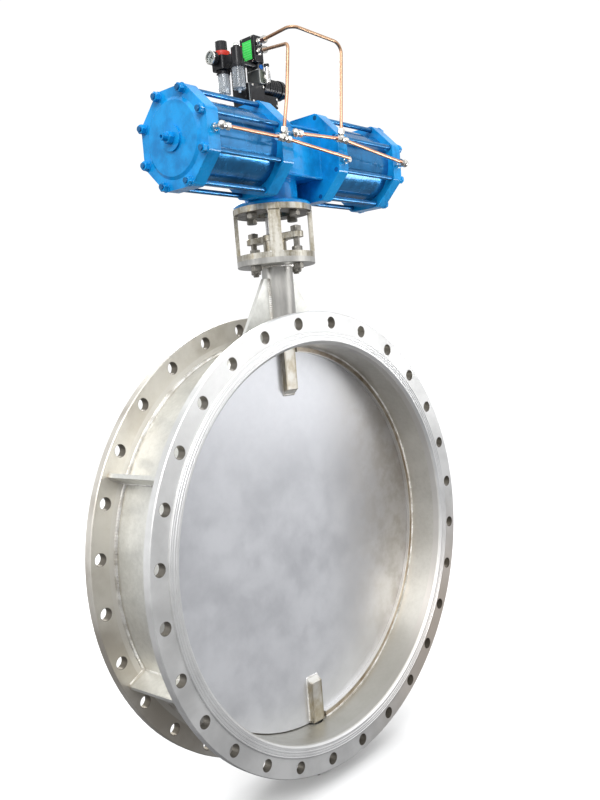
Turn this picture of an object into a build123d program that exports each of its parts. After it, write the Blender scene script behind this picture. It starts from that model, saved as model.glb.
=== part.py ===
from build123d import *
import os
from math import cos, pi, radians, tan

# Air-operated butterfly damper valve, DN1000, with its double-piston actuator and air panel.
# Millimetres. The origin is the centre of the inlet sealing face. +Y runs along the flow into
# the valve, +Z runs up the stem, and +X runs along the actuator cylinders.

# ---- driving dimensions: welded valve body ----
stem_y = 119            # stem axis, halfway between the two sealing faces
lip_proud = 4           # raised sealing face above the bolting ring
flange_t = 22           # bolting ring
flange_r = 587.5
lip_r = 537.5
bore_r = 506
bore_chamfer = 7        # ground weld just inside the sealing face
groove_first_r = 519.5  # three sealing grooves in the raised face
groove_pitch = 6.5
groove_deep = 1.2
shell_r = 518
bolt_circle_r = 560
bolt_count = 28
bolt_hole_r = 15
rib_angle = 360 / bolt_count * 2
rib_outer_r = 572
plate_t = 10            # ribs and gussets
neck_r = 40
neck_bore_r = 25
packing_r = 30
neck_top = 711
pot_r = 38              # bottom bearing pot
pot_bore_r = 26
pot_bottom = -630
pot_cover_t = 8

# ---- driving dimensions: disc and stem ----
disc_r = 503
disc_t = 12
hub_half_w = 21
hub_half_t = 21
hub_inner_z = 380
hub_outer_z = 502
stem_r = 20
stub_r = 18
stem_tip_r = 15         # stem and stub where they enter the disc hubs
stem_top = 960
fit = 0.05              # running fit on the radius
slot = 0.3              # gap between parts that pass each other

# ---- driving dimensions: bracket and gland ----
bracket_r = 100
neck_flange_top = 726
bracket_low_top = 740
bracket_high_low = 841
bracket_top = 857
post_w = 30
post_t = 10
fixing_circle_r = 75
fixing_r = 8
nut_r = 13.9
nut_t = 13

# ---- driving dimensions: actuator ----
rod_y = 66              # axis of the cylinders
rod_z = 976
rod_r = 28
pitch_r = 40            # drive pinion
tooth_count = 16
inner_x = 85            # inside faces of the inner plates
inner_out_x = 122
cap_in_x = 320
cap_out_x = 355
apothem = 108.5         # octagonal plates
tube_out_r = 92
tube_in_r = 86
tube_seat = 4
tie_circle_r = 106
tie_r = 6
piston_t = 34
stroke = pitch_r * pi / 2
piston_rest_x = -304    # outer face of the left piston with the valve shut
sleeve_r = 30           # drive sleeve of the pinion
bush_r = 38
base_top = 867
turret_r = 68
turret_top = 920
box_front_y = 16
box_back_y = 180
box_top = 1039
box_wall = 10

# ---- driving dimensions: air panel ----
pipe_r = 4
pipe_y = -68            # plane of the copper lines in front of the cylinders
flat_y = rod_y - apothem
switch_low = 1100
switch_top = 1150
frl_x = -115
regulator_y = 137
lubricator_y = 86
coil_x = -63
coil_front_y = 75
port_x = -50
port_a_z = 1246
port_b_z = 1223

os.makedirs("parts", exist_ok=True)


def wall_plane(y):
    """Sketch plane across the flow, local up is +Z; a negative extrude runs to +Y."""
    return Plane.XZ.offset(-y)


def rod_plane(x):
    """Sketch plane across the cylinders, centred on their axis."""
    return Plane(origin=(x, rod_y, rod_z), x_dir=(0, 1, 0), z_dir=(1, 0, 0))


def stem_plane(z):
    """Level sketch plane centred on the stem axis."""
    return Plane(origin=(0, stem_y, z), x_dir=(1, 0, 0), z_dir=(0, 0, 1))


def post_plane(x, y, z):
    """Level sketch plane centred on any upright axis."""
    return Plane(origin=(x, y, z), x_dir=(1, 0, 0), z_dir=(0, 0, 1))


def ring(outer, inner):
    """Annulus in the current sketch."""
    Circle(outer)
    Circle(inner, mode=Mode.SUBTRACT)


# ======================= valve body =======================

def flange_profile(face, back, sign):
    """Section of a flange from its sealing face to its back, as (radius, y) points."""
    step = face + sign * lip_proud
    grooves = []
    for index in range(3):
        middle = groove_first_r + index * groove_pitch
        grooves.append((middle - 1.6, face))
        grooves.append((middle - 0.8, face + sign * groove_deep))
        grooves.append((middle + 0.8, face + sign * groove_deep))
        grooves.append((middle + 1.6, face))
    return [
        (bore_r, face + sign * bore_chamfer),
        (bore_r + bore_chamfer, face),
        *grooves,
        (lip_r - 1.5, face),
        (lip_r, face + sign * 1.5),
        (lip_r, step),
        (flange_r - 2, step),
        (flange_r, step + sign * 2),
        (flange_r, back - sign * 2),
        (flange_r - 2, back),
        (bore_r, back),
    ]


face_y = 2 * stem_y
ring_back = lip_proud + flange_t

with BuildPart() as inlet_flange:
    with BuildSketch(Plane.XY):
        with BuildLine():
            Polyline(flange_profile(0, ring_back, 1), close=True)
        make_face()
    revolve(axis=Axis.Y)
    with BuildSketch(wall_plane(0)):
        with PolarLocations(bolt_circle_r, bolt_count, start_angle=180 / bolt_count):
            Circle(bolt_hole_r)
    extrude(amount=-ring_back, mode=Mode.SUBTRACT)
inlet_flange.part.label = "inlet_flange"
export_step(inlet_flange.part, "parts/inlet_flange.step")

with BuildPart() as outlet_flange:
    with BuildSketch(Plane.XY):
        with BuildLine():
            Polyline(flange_profile(face_y, face_y - ring_back, -1), close=True)
        make_face()
    revolve(axis=Axis.Y)
    with BuildSketch(wall_plane(face_y - ring_back)):
        with PolarLocations(bolt_circle_r, bolt_count, start_angle=180 / bolt_count):
            Circle(bolt_hole_r)
    extrude(amount=-ring_back, mode=Mode.SUBTRACT)
outlet_flange.part.label = "outlet_flange"
export_step(outlet_flange.part, "parts/outlet_flange.step")

with BuildPart() as body_shell:
    with BuildSketch(wall_plane(ring_back)):
        ring(shell_r, bore_r)
    extrude(amount=-(face_y - 2 * ring_back))
    with BuildSketch(stem_plane(0)):
        Circle(neck_bore_r)
    extrude(amount=flange_r, mode=Mode.SUBTRACT)
    with BuildSketch(stem_plane(0)):
        Circle(pot_bore_r)
    extrude(amount=-flange_r, mode=Mode.SUBTRACT)
body_shell.part.label = "body_shell"
export_step(body_shell.part, "parts/body_shell.step")

with BuildPart() as body_ribs:
    with BuildSketch(wall_plane(ring_back)):
        for angle in (rib_angle, 180 - rib_angle, 180 + rib_angle, -rib_angle):
            with PolarLocations(0.5 * (bore_r + rib_outer_r), 1, start_angle=angle):
                Rectangle(rib_outer_r - bore_r, plate_t)
    extrude(amount=-(face_y - 2 * ring_back))
    with BuildSketch(wall_plane(0)):
        Circle(shell_r)
    extrude(amount=-face_y, mode=Mode.SUBTRACT)
body_ribs.part.label = "body_ribs"
export_step(body_ribs.part, "parts/body_ribs.step")

with BuildPart() as neck_tube:
    with BuildSketch(stem_plane(bore_r)):
        ring(neck_r, neck_bore_r)
    extrude(amount=neck_top - bore_r)
    with BuildSketch(stem_plane(650)):
        Circle(packing_r)
    extrude(amount=neck_top - 650, mode=Mode.SUBTRACT)
    with BuildSketch(wall_plane(0)):
        Circle(shell_r)
    extrude(amount=-face_y, mode=Mode.SUBTRACT)
neck_tube.part.label = "neck_tube"
export_step(neck_tube.part, "parts/neck_tube.step")

with BuildPart() as neck_gussets:
    with BuildSketch(wall_plane(stem_y - plate_t / 2)):
        with BuildLine():
            Polyline((20, 480), (20, 679), (56, 679), (140, 542), (172, 480), close=True)
        make_face()
        mirror(about=Plane.YZ)
    extrude(amount=-plate_t)
    with BuildSketch(wall_plane(0)):
        Circle(shell_r)
    extrude(amount=-face_y, mode=Mode.SUBTRACT)
    with BuildSketch(stem_plane(bore_r)):
        Circle(neck_r)
    extrude(amount=neck_top - bore_r, mode=Mode.SUBTRACT)
neck_gussets.part.label = "neck_gussets"
export_step(neck_gussets.part, "parts/neck_gussets.step")

with BuildPart() as neck_flange:
    with BuildSketch(stem_plane(neck_top)):
        ring(bracket_r, packing_r)
        with PolarLocations(fixing_circle_r, 4):
            Circle(fixing_r, mode=Mode.SUBTRACT)
    extrude(amount=neck_flange_top - neck_top)
    chamfer(neck_flange.faces().sort_by(Axis.Z)[0].outer_wire().edges(), length=1.5)
neck_flange.part.label = "neck_flange"
export_step(neck_flange.part, "parts/neck_flange.step")

# ---- half rings that the disc closes against ----
seat_r = 490
seat_t = 10
disc_front = stem_y - disc_t / 2
disc_back = stem_y + disc_t / 2
seat_gap_x = hub_half_w + 13


def half_seat(y, side):
    """Half ring on one side of the stem, clear of the disc hubs."""
    with BuildPart() as seat:
        with BuildSketch(wall_plane(y)):
            ring(bore_r, seat_r)
            with Locations((side * (seat_gap_x - bore_r), 0)):
                Rectangle(2 * bore_r, 3 * bore_r, mode=Mode.SUBTRACT)
        extrude(amount=-seat_t)
    return seat


with BuildPart() as half_seats:
    add(half_seat(disc_front - slot - seat_t, 1).part)
    add(half_seat(disc_back + slot, -1).part)
half_seats.part.label = "half_seats"
export_step(half_seats.part, "parts/half_seats.step")

# ---- bottom bearing pot ----
with BuildPart() as bearing_pot:
    with BuildSketch(stem_plane(-bore_r)):
        ring(pot_r, pot_bore_r)
    extrude(amount=pot_bottom + bore_r)
    with BuildSketch(wall_plane(0)):
        Circle(shell_r)
    extrude(amount=-face_y, mode=Mode.SUBTRACT)
bearing_pot.part.label = "bearing_pot"
export_step(bearing_pot.part, "parts/bearing_pot.step")

pot_screw_circle_r = 32
pot_screw_r = 3
pot_head_t = 5

with BuildPart() as pot_cover:
    with BuildSketch(stem_plane(pot_bottom - pot_cover_t)):
        Circle(pot_r)
        with PolarLocations(pot_screw_circle_r, 4, start_angle=45):
            Circle(pot_screw_r, mode=Mode.SUBTRACT)
    extrude(amount=pot_cover_t)
    chamfer(pot_cover.faces().sort_by(Axis.Z)[0].outer_wire().edges(), length=1.5)
pot_cover.part.label = "pot_cover"
export_step(pot_cover.part, "parts/pot_cover.step")

with BuildPart() as pot_screws:
    with BuildSketch(stem_plane(pot_bottom - pot_cover_t - pot_head_t)):
        with PolarLocations(pot_screw_circle_r, 4, start_angle=45):
            RegularPolygon(5.5, 6)
    extrude(amount=pot_head_t)
    with BuildSketch(stem_plane(pot_bottom - pot_cover_t)):
        with PolarLocations(pot_screw_circle_r, 4, start_angle=45):
            Circle(pot_screw_r)
    extrude(amount=pot_cover_t)
pot_screws.part.label = "pot_screws"
export_step(pot_screws.part, "parts/pot_screws.step")

thrust_pad_t = 8
neck_bush_low = 530
bush_length = 60

with BuildPart() as stem_bearings:
    with BuildSketch(stem_plane(neck_bush_low)):
        ring(neck_bore_r, stem_r + fit)
    extrude(amount=bush_length)
    with BuildSketch(stem_plane(pot_bottom + thrust_pad_t + 2)):
        ring(pot_bore_r, stub_r + fit)
    extrude(amount=bush_length)
    with BuildSketch(stem_plane(pot_bottom)):
        Circle(pot_bore_r)
    extrude(amount=thrust_pad_t)
stem_bearings.part.label = "stem_bearings"
export_step(stem_bearings.part, "parts/stem_bearings.step")

# ======================= gland =======================

packing_low = 650
packing_step = 11
packing_rings_high = 5
packing_top = packing_low + packing_step * packing_rings_high
gland_low = 775
gland_top = 790

with BuildPart() as packing_rings:
    for level in range(packing_rings_high):
        with BuildSketch(stem_plane(packing_low + packing_step * level)):
            ring(packing_r, stem_r + fit)
        extrude(amount=packing_step - 0.5)
packing_rings.part.label = "packing_rings"
export_step(packing_rings.part, "parts/packing_rings.step")

with BuildPart() as gland_follower:
    with BuildSketch(stem_plane(gland_low)):
        SlotCenterToCenter(2 * fixing_circle_r, 36, rotation=90)
        Circle(34)
    extrude(amount=gland_top - gland_low)
    with BuildSketch(stem_plane(packing_top)):
        Circle(packing_r - slot)
    extrude(amount=gland_low - packing_top)
    with BuildSketch(stem_plane(packing_top)):
        Circle(stem_r + slot)
    extrude(amount=gland_top - packing_top, mode=Mode.SUBTRACT)
    with BuildSketch(stem_plane(gland_low)):
        with Locations((0, fixing_circle_r), (0, -fixing_circle_r)):
            Circle(fixing_r)
    extrude(amount=gland_top - gland_low, mode=Mode.SUBTRACT)
    chamfer(gland_follower.faces().sort_by(Axis.Z)[-1].outer_wire().edges(), length=1.5)
gland_follower.part.label = "gland_follower"
export_step(gland_follower.part, "parts/gland_follower.step")


stud_low = neck_top - 18
stud_top = gland_top + 15

with BuildPart() as gland_studs:
    with BuildSketch(stem_plane(stud_low)):
        with Locations((0, fixing_circle_r), (0, -fixing_circle_r)):
            Circle(fixing_r)
    extrude(amount=stud_top - stud_low)
    chamfer(gland_studs.edges().filter_by(GeomType.CIRCLE), length=1.5)
gland_studs.part.label = "gland_studs"
export_step(gland_studs.part, "parts/gland_studs.step")

with BuildPart() as gland_nuts:
    for low, size in ((gland_top, 15.5), (bracket_low_top, nut_r), (neck_top - nut_t, nut_r)):
        with BuildSketch(stem_plane(low)):
            with Locations((0, fixing_circle_r), (0, -fixing_circle_r)):
                RegularPolygon(size, 6)
                Circle(fixing_r, mode=Mode.SUBTRACT)
        extrude(amount=nut_t)
gland_nuts.part.label = "gland_nuts"
export_step(gland_nuts.part, "parts/gland_nuts.step")

# ======================= bracket =======================

post_mid_r = bracket_r - post_t / 2

with BuildPart() as actuator_bracket:
    with BuildSketch(stem_plane(neck_flange_top)):
        ring(bracket_r, 45)
        with PolarLocations(fixing_circle_r, 4):
            Circle(fixing_r, mode=Mode.SUBTRACT)
    extrude(amount=bracket_low_top - neck_flange_top)
    with BuildSketch(stem_plane(bracket_high_low)):
        ring(bracket_r, 45)
        with PolarLocations(fixing_circle_r, 4):
            Circle(fixing_r, mode=Mode.SUBTRACT)
    extrude(amount=bracket_top - bracket_high_low)
    with BuildSketch(stem_plane(bracket_low_top)):
        with PolarLocations(post_mid_r, 4, start_angle=45):
            Rectangle(post_t, post_w)
    extrude(amount=bracket_top - bracket_low_top)
actuator_bracket.part.label = "actuator_bracket"
export_step(actuator_bracket.part, "parts/actuator_bracket.step")

with BuildPart() as neck_bolts:
    with BuildSketch(stem_plane(neck_top - 18)):
        with Locations((fixing_circle_r, 0), (-fixing_circle_r, 0)):
            Circle(fixing_r)
    extrude(amount=bracket_low_top - neck_top + 18)
    with BuildSketch(stem_plane(neck_top - nut_t)):
        with Locations((fixing_circle_r, 0), (-fixing_circle_r, 0)):
            RegularPolygon(nut_r, 6)
    extrude(amount=nut_t)
    with BuildSketch(stem_plane(bracket_low_top)):
        with Locations((fixing_circle_r, 0), (-fixing_circle_r, 0)):
            RegularPolygon(nut_r, 6)
    extrude(amount=10)
neck_bolts.part.label = "neck_bolts"
export_step(neck_bolts.part, "parts/neck_bolts.step")

with BuildPart() as bracket_bolts:
    with BuildSketch(stem_plane(bracket_high_low)):
        with PolarLocations(fixing_circle_r, 4):
            Circle(fixing_r)
    extrude(amount=base_top - bracket_high_low - 5)
    with BuildSketch(stem_plane(bracket_high_low - nut_t)):
        with PolarLocations(fixing_circle_r, 4):
            RegularPolygon(nut_r, 6)
    extrude(amount=nut_t)
bracket_bolts.part.label = "bracket_bolts"
export_step(bracket_bolts.part, "parts/bracket_bolts.step")

# ======================= disc and stem =======================

hub_mid_z = 0.5 * (hub_inner_z + hub_outer_z)
hub_length = hub_outer_z - hub_inner_z

with BuildPart() as disc_plate:
    with BuildSketch(wall_plane(disc_front)):
        Circle(disc_r)
        with Locations((0, hub_mid_z + 20), (0, -hub_mid_z - 20)):
            Rectangle(2 * hub_half_w, hub_length + 40, mode=Mode.SUBTRACT)
    extrude(amount=-disc_t)
disc_plate.part.label = "disc_plate"
export_step(disc_plate.part, "parts/disc_plate.step")

with BuildPart() as disc_hubs:
    with BuildSketch(Plane.YZ.offset(-hub_half_w)):
        with BuildLine():
            Polyline(
                (stem_y - disc_t / 2, hub_inner_z),
                (stem_y - hub_half_t, hub_inner_z + 14),
                (stem_y - hub_half_t, hub_outer_z),
                (stem_y + hub_half_t, hub_outer_z),
                (stem_y + hub_half_t, hub_inner_z + 14),
                (stem_y + disc_t / 2, hub_inner_z),
                close=True,
            )
        make_face()
        mirror(about=Plane.XZ)
    extrude(amount=2 * hub_half_w)
    with BuildSketch(stem_plane(hub_inner_z + 12)):
        Circle(stem_tip_r)
    extrude(amount=hub_length, mode=Mode.SUBTRACT)
    with BuildSketch(stem_plane(-hub_inner_z - 12)):
        Circle(stem_tip_r)
    extrude(amount=-hub_length, mode=Mode.SUBTRACT)
disc_hubs.part.label = "disc_hubs"
export_step(disc_hubs.part, "parts/disc_hubs.step")

key_w = 10
key_low = 900
key_length = 50
stem_shoulder = hub_outer_z + 1

with BuildPart() as valve_stem:
    with BuildSketch(stem_plane(hub_inner_z + 12)):
        Circle(stem_tip_r)
    extrude(amount=stem_shoulder - hub_inner_z - 12)
    with BuildSketch(stem_plane(stem_shoulder)):
        Circle(stem_r)
    extrude(amount=stem_top - stem_shoulder)
    chamfer(valve_stem.edges().filter_by(GeomType.CIRCLE).sort_by(Axis.Z)[-1], length=2)
    with BuildSketch(stem_plane(key_low)):
        with Locations((stem_r, 0)):
            Rectangle(key_w, key_w)
    extrude(amount=key_length, mode=Mode.SUBTRACT)
valve_stem.part.label = "valve_stem"
export_step(valve_stem.part, "parts/valve_stem.step")

with BuildPart() as stub_shaft:
    with BuildSketch(stem_plane(-hub_inner_z - 12)):
        Circle(stem_tip_r)
    extrude(amount=hub_inner_z + 12 - stem_shoulder)
    with BuildSketch(stem_plane(-stem_shoulder)):
        Circle(stub_r)
    extrude(amount=pot_bottom + thrust_pad_t + slot + stem_shoulder)
stub_shaft.part.label = "stub_shaft"
export_step(stub_shaft.part, "parts/stub_shaft.step")

with BuildPart() as drive_key:
    with BuildSketch(stem_plane(key_low)):
        with Locations((stem_r, 0)):
            Rectangle(key_w, key_w)
    extrude(amount=key_length)
drive_key.part.label = "drive_key"
export_step(drive_key.part, "parts/drive_key.step")

# ---- drive pinion on its sleeve, with the small shaft that turns the switch cams ----
pinion_low = 950
pinion_top = 1002
tooth_root_r = 34.5
tooth_tip_r = 44
sleeve_low = 862
sleeve_top = 1048
cam_shaft_r = 8
cam_shaft_top = 1122
cam_socket = 12
cam_r = 11
cam_t = 5
cam_throw = 2

with BuildPart() as drive_pinion:
    with BuildSketch(stem_plane(pinion_low)):
        Circle(tooth_root_r)
        with PolarLocations(0, tooth_count):
            Polygon(
                (tooth_root_r - 6, -4.2),
                (37.6, -3.7),
                (tooth_tip_r, -1.3),
                (tooth_tip_r, 1.3),
                (37.6, 3.7),
                (tooth_root_r - 6, 4.2),
                align=None,
            )
    extrude(amount=pinion_top - pinion_low)
    with BuildSketch(stem_plane(sleeve_low)):
        Circle(sleeve_r)
    extrude(amount=sleeve_top - sleeve_low)
    with BuildSketch(stem_plane(sleeve_low)):
        Circle(stem_r)
    extrude(amount=stem_top - sleeve_low, mode=Mode.SUBTRACT)
    with BuildSketch(stem_plane(key_low)):
        with Locations((stem_r, 0)):
            Rectangle(key_w, key_w)
    extrude(amount=key_length, mode=Mode.SUBTRACT)
    with BuildSketch(stem_plane(sleeve_top - cam_socket)):
        Circle(cam_shaft_r)
    extrude(amount=cam_socket, mode=Mode.SUBTRACT)
drive_pinion.part.label = "drive_pinion"
export_step(drive_pinion.part, "parts/drive_pinion.step")

with BuildPart() as cam_shaft:
    with BuildSketch(stem_plane(sleeve_top - cam_socket)):
        Circle(cam_shaft_r)
    extrude(amount=cam_shaft_top - sleeve_top + cam_socket)
    with BuildSketch(stem_plane(cam_shaft_top - 14)):
        with Locations((cam_throw, 0)):
            Circle(cam_r)
    extrude(amount=cam_t)
    with BuildSketch(stem_plane(cam_shaft_top - 7)):
        with Locations((0, cam_throw)):
            Circle(cam_r)
    extrude(amount=cam_t)
cam_shaft.part.label = "cam_shaft"
export_step(cam_shaft.part, "parts/cam_shaft.step")

# ======================= actuator casing =======================

with BuildPart() as actuator_base:
    with BuildSketch(stem_plane(bracket_top)):
        ring(98, bush_r)
        with PolarLocations(fixing_circle_r, 4):
            Circle(fixing_r, mode=Mode.SUBTRACT)
    extrude(amount=base_top - bracket_top)
    fillet(actuator_base.faces().sort_by(Axis.Z)[-1].outer_wire().edges(), radius=5)
    with BuildSketch(stem_plane(base_top)):
        ring(turret_r, bush_r)
    extrude(amount=turret_top - base_top)
actuator_base.part.label = "actuator_base"
export_step(actuator_base.part, "parts/actuator_base.step")

box_mid_y = 0.5 * (box_front_y + box_back_y)
box_mid_z = 0.5 * (turret_top + box_top)
box_depth = box_back_y - box_front_y
box_height = box_top - turret_top

with BuildPart() as gear_housing:
    with BuildSketch(Plane.YZ.offset(-inner_x)):
        with Locations((box_mid_y, box_mid_z)):
            RectangleRounded(box_depth, box_height, 6)
            Rectangle(box_depth - 2 * box_wall, box_height - 2 * box_wall, mode=Mode.SUBTRACT)
    extrude(amount=2 * inner_x)
    with BuildSketch(stem_plane(box_top)):
        Circle(52)
    extrude(amount=8)
    with BuildSketch(stem_plane(turret_top)):
        Circle(bush_r)
    extrude(amount=box_height + 8, mode=Mode.SUBTRACT)
gear_housing.part.label = "gear_housing"
export_step(gear_housing.part, "parts/gear_housing.step")

with BuildPart() as sleeve_bushes:
    with BuildSketch(stem_plane(base_top)):
        ring(bush_r, sleeve_r + fit)
    extrude(amount=turret_top + box_wall - base_top)
    with BuildSketch(stem_plane(box_top - box_wall)):
        ring(bush_r, sleeve_r + fit)
    extrude(amount=box_wall + 8)
sleeve_bushes.part.label = "sleeve_bushes"
export_step(sleeve_bushes.part, "parts/sleeve_bushes.step")

octagon_r = apothem / cos(radians(22.5))
guide_r = 36


def octagon(corner):
    """Octagonal plate outline, flats level and upright, with rounded corners."""
    RegularPolygon(octagon_r, 8, rotation=22.5)
    fillet(vertices(), radius=corner)


def inner_plate(side):
    """Plate between a cylinder and the gear housing."""
    start = side * inner_x
    reach = side * (inner_out_x - inner_x)
    with BuildPart() as plate:
        with BuildSketch(rod_plane(start)):
            octagon(14)
            Circle(guide_r, mode=Mode.SUBTRACT)
            with PolarLocations(tie_circle_r, 8, start_angle=22.5):
                Circle(tie_r, mode=Mode.SUBTRACT)
        extrude(amount=reach)
        with BuildSketch(rod_plane(side * inner_out_x)):
            ring(tube_out_r, tube_in_r)
        extrude(amount=-side * tube_seat, mode=Mode.SUBTRACT)
    return plate


with BuildPart() as inner_plates:
    add(inner_plate(-1).part)
    add(inner_plate(1).part)
inner_plates.part.label = "inner_plates"
export_step(inner_plates.part, "parts/inner_plates.step")

guide_w = 20

with BuildPart() as rod_guides:
    for start in (inner_out_x - guide_w, -inner_out_x):
        with BuildSketch(rod_plane(start)):
            ring(guide_r, rod_r + fit)
        extrude(amount=guide_w)
rod_guides.part.label = "rod_guides"
export_step(rod_guides.part, "parts/rod_guides.step")

tube_start = inner_out_x - tube_seat
tube_length = cap_in_x - inner_out_x + 2 * tube_seat

with BuildPart() as cylinder_tubes:
    with BuildSketch(rod_plane(tube_start)):
        ring(tube_out_r, tube_in_r)
    extrude(amount=tube_length)
    with BuildSketch(rod_plane(-tube_start)):
        ring(tube_out_r, tube_in_r)
    extrude(amount=-tube_length)
cylinder_tubes.part.label = "cylinder_tubes"
export_step(cylinder_tubes.part, "parts/cylinder_tubes.step")

stop_r = 8
boss_r = 28
dome_r = 88
dome_high = 5
boss_high = 10


def end_cap(side):
    """Outer plate of a cylinder, with its raised dish and the boss of the stop screw."""
    with BuildPart() as cap:
        with BuildSketch(rod_plane(side * cap_in_x)):
            octagon(14)
            with PolarLocations(tie_circle_r, 8, start_angle=22.5):
                Circle(tie_r + 0.5, mode=Mode.SUBTRACT)
        extrude(amount=side * (cap_out_x - cap_in_x))
        with BuildSketch(rod_plane(side * cap_out_x)):
            Circle(dome_r)
        extrude(amount=side * dome_high, taper=55)
        with BuildSketch(rod_plane(side * cap_out_x)):
            Circle(boss_r)
        extrude(amount=side * boss_high)
        with BuildSketch(rod_plane(side * cap_in_x)):
            ring(tube_out_r, tube_in_r)
        extrude(amount=side * tube_seat, mode=Mode.SUBTRACT)
        with BuildSketch(rod_plane(side * cap_in_x)):
            Circle(40)
        extrude(amount=side * 10, mode=Mode.SUBTRACT)
        with BuildSketch(rod_plane(side * cap_in_x)):
            Circle(stop_r)
        extrude(amount=side * 60, mode=Mode.SUBTRACT)
    return cap


end_cap_left = end_cap(-1)
end_cap_left.part.label = "end_cap_left"
export_step(end_cap_left.part, "parts/end_cap_left.step")

end_cap_right = end_cap(1)
end_cap_right.part.label = "end_cap_right"
export_step(end_cap_right.part, "parts/end_cap_right.step")

tie_end = cap_out_x + 17
tie_nut_r = 11.5
tie_nut_t = 11

with BuildPart() as tie_rods:
    for side in (-1, 1):
        with BuildSketch(rod_plane(side * inner_x)):
            with PolarLocations(tie_circle_r, 8, start_angle=22.5):
                Circle(tie_r)
        extrude(amount=side * (tie_end - inner_x))
tie_rods.part.label = "tie_rods"
export_step(tie_rods.part, "parts/tie_rods.step")

with BuildPart() as tie_nuts:
    for side in (-1, 1):
        with BuildSketch(rod_plane(side * cap_out_x)):
            with PolarLocations(tie_circle_r, 8, start_angle=22.5):
                Circle(12.5)
                Circle(tie_r, mode=Mode.SUBTRACT)
        extrude(amount=side * 2)
        with BuildSketch(rod_plane(side * (cap_out_x + 2))):
            with PolarLocations(tie_circle_r, 8, start_angle=22.5):
                RegularPolygon(tie_nut_r, 6)
                Circle(tie_r, mode=Mode.SUBTRACT)
        extrude(amount=side * tie_nut_t)
tie_nuts.part.label = "tie_nuts"
export_step(tie_nuts.part, "parts/tie_nuts.step")

stop_tip_x = 316.5
stop_end_x = 392

with BuildPart() as stop_screws:
    for side in (-1, 1):
        with BuildSketch(rod_plane(side * stop_tip_x)):
            Circle(stop_r)
        extrude(amount=side * (stop_end_x - stop_tip_x))
    with BuildSketch(rod_plane(stop_end_x - 8)):
        RegularPolygon(4.5, 6)
    extrude(amount=8, mode=Mode.SUBTRACT)
    with BuildSketch(rod_plane(-stop_end_x + 8)):
        RegularPolygon(4.5, 6)
    extrude(amount=-8, mode=Mode.SUBTRACT)
stop_screws.part.label = "stop_screws"
export_step(stop_screws.part, "parts/stop_screws.step")

with BuildPart() as stop_locknuts:
    for side in (-1, 1):
        with BuildSketch(rod_plane(side * (cap_out_x + boss_high))):
            RegularPolygon(nut_r, 6)
            Circle(stop_r, mode=Mode.SUBTRACT)
        extrude(amount=side * nut_t)
stop_locknuts.part.label = "stop_locknuts"
export_step(stop_locknuts.part, "parts/stop_locknuts.step")

# ======================= rack rod and pistons =======================

spigot_r = 16
spigot_out = 12
rod_left = piston_rest_x + piston_t
rod_right = -rod_left - stroke
rack_gap_y = 17         # rack tooth tips above the rod axis
rack_root_y = 8
rack_mid = -stroke / 2
rack_half = stroke / 2 + 38
pitch = 2 * pi * pitch_r / tooth_count
rack_slope = tan(radians(20))
pitch_line = stem_y - pitch_r - rod_y


def rack_space(x):
    """Space between two rack teeth, seen from above, open towards the pinion."""
    half_at_pitch = pitch / 2 - 3.5
    half_root = half_at_pitch - (pitch_line - rack_root_y) * rack_slope
    half_tip = half_at_pitch + (rack_gap_y + 1 - pitch_line) * rack_slope
    Polygon(
        (x - half_root, rod_y + rack_root_y),
        (x + half_root, rod_y + rack_root_y),
        (x + half_tip, rod_y + rack_gap_y + 1),
        (x - half_tip, rod_y + rack_gap_y + 1),
        align=None,
    )


with BuildPart() as rack_rod:
    with BuildSketch(rod_plane(rod_left)):
        Circle(rod_r)
    extrude(amount=rod_right - rod_left)
    with BuildSketch(rod_plane(rod_left)):
        Circle(spigot_r)
    extrude(amount=-(piston_t + spigot_out))
    with BuildSketch(rod_plane(rod_right)):
        Circle(spigot_r)
    extrude(amount=piston_t + spigot_out)
    with BuildSketch(Plane.XY.offset(rod_z - rod_r)):
        with Locations((rack_mid, rod_y + rack_gap_y + 10)):
            Rectangle(2 * rack_half, 20)
    extrude(amount=2 * rod_r, mode=Mode.SUBTRACT)
    for step in range(-7, 4):
        if abs(step * pitch - rack_mid) < rack_half - pitch / 4:
            with BuildSketch(Plane.XY.offset(rod_z - rod_r)):
                rack_space(step * pitch)
            extrude(amount=2 * rod_r, mode=Mode.SUBTRACT)
rack_rod.part.label = "rack_rod"
export_step(rack_rod.part, "parts/rack_rod.step")

seal_groove_r = 80
seal_w = 6

with BuildPart() as pistons:
    for start in (piston_rest_x, rod_right):
        with BuildSketch(rod_plane(start)):
            ring(tube_in_r - slot, spigot_r)
        extrude(amount=piston_t)
        for seal_x in (start + 6, start + piston_t - 6 - seal_w):
            with BuildSketch(rod_plane(seal_x)):
                ring(tube_in_r, seal_groove_r)
            extrude(amount=seal_w, mode=Mode.SUBTRACT)
pistons.part.label = "pistons"
export_step(pistons.part, "parts/pistons.step")

with BuildPart() as piston_seals:
    for start in (piston_rest_x, rod_right):
        for seal_x in (start + 6, start + piston_t - 6 - seal_w):
            with BuildSketch(rod_plane(seal_x)):
                ring(tube_in_r - fit, seal_groove_r)
            extrude(amount=seal_w)
piston_seals.part.label = "piston_seals"
export_step(piston_seals.part, "parts/piston_seals.step")

with BuildPart() as piston_nuts:
    for start, side in ((piston_rest_x, -1), (rod_right + piston_t, 1)):
        with BuildSketch(rod_plane(start)):
            RegularPolygon(27, 6)
            Circle(spigot_r, mode=Mode.SUBTRACT)
        extrude(amount=side * (spigot_out - 1))
piston_nuts.part.label = "piston_nuts"
export_step(piston_nuts.part, "parts/piston_nuts.step")

# ======================= air panel =======================

strap_t = 4
strap_y = 125
strap_w = 24
strap_left = -78
strap_right = 56
foot = 18

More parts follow.
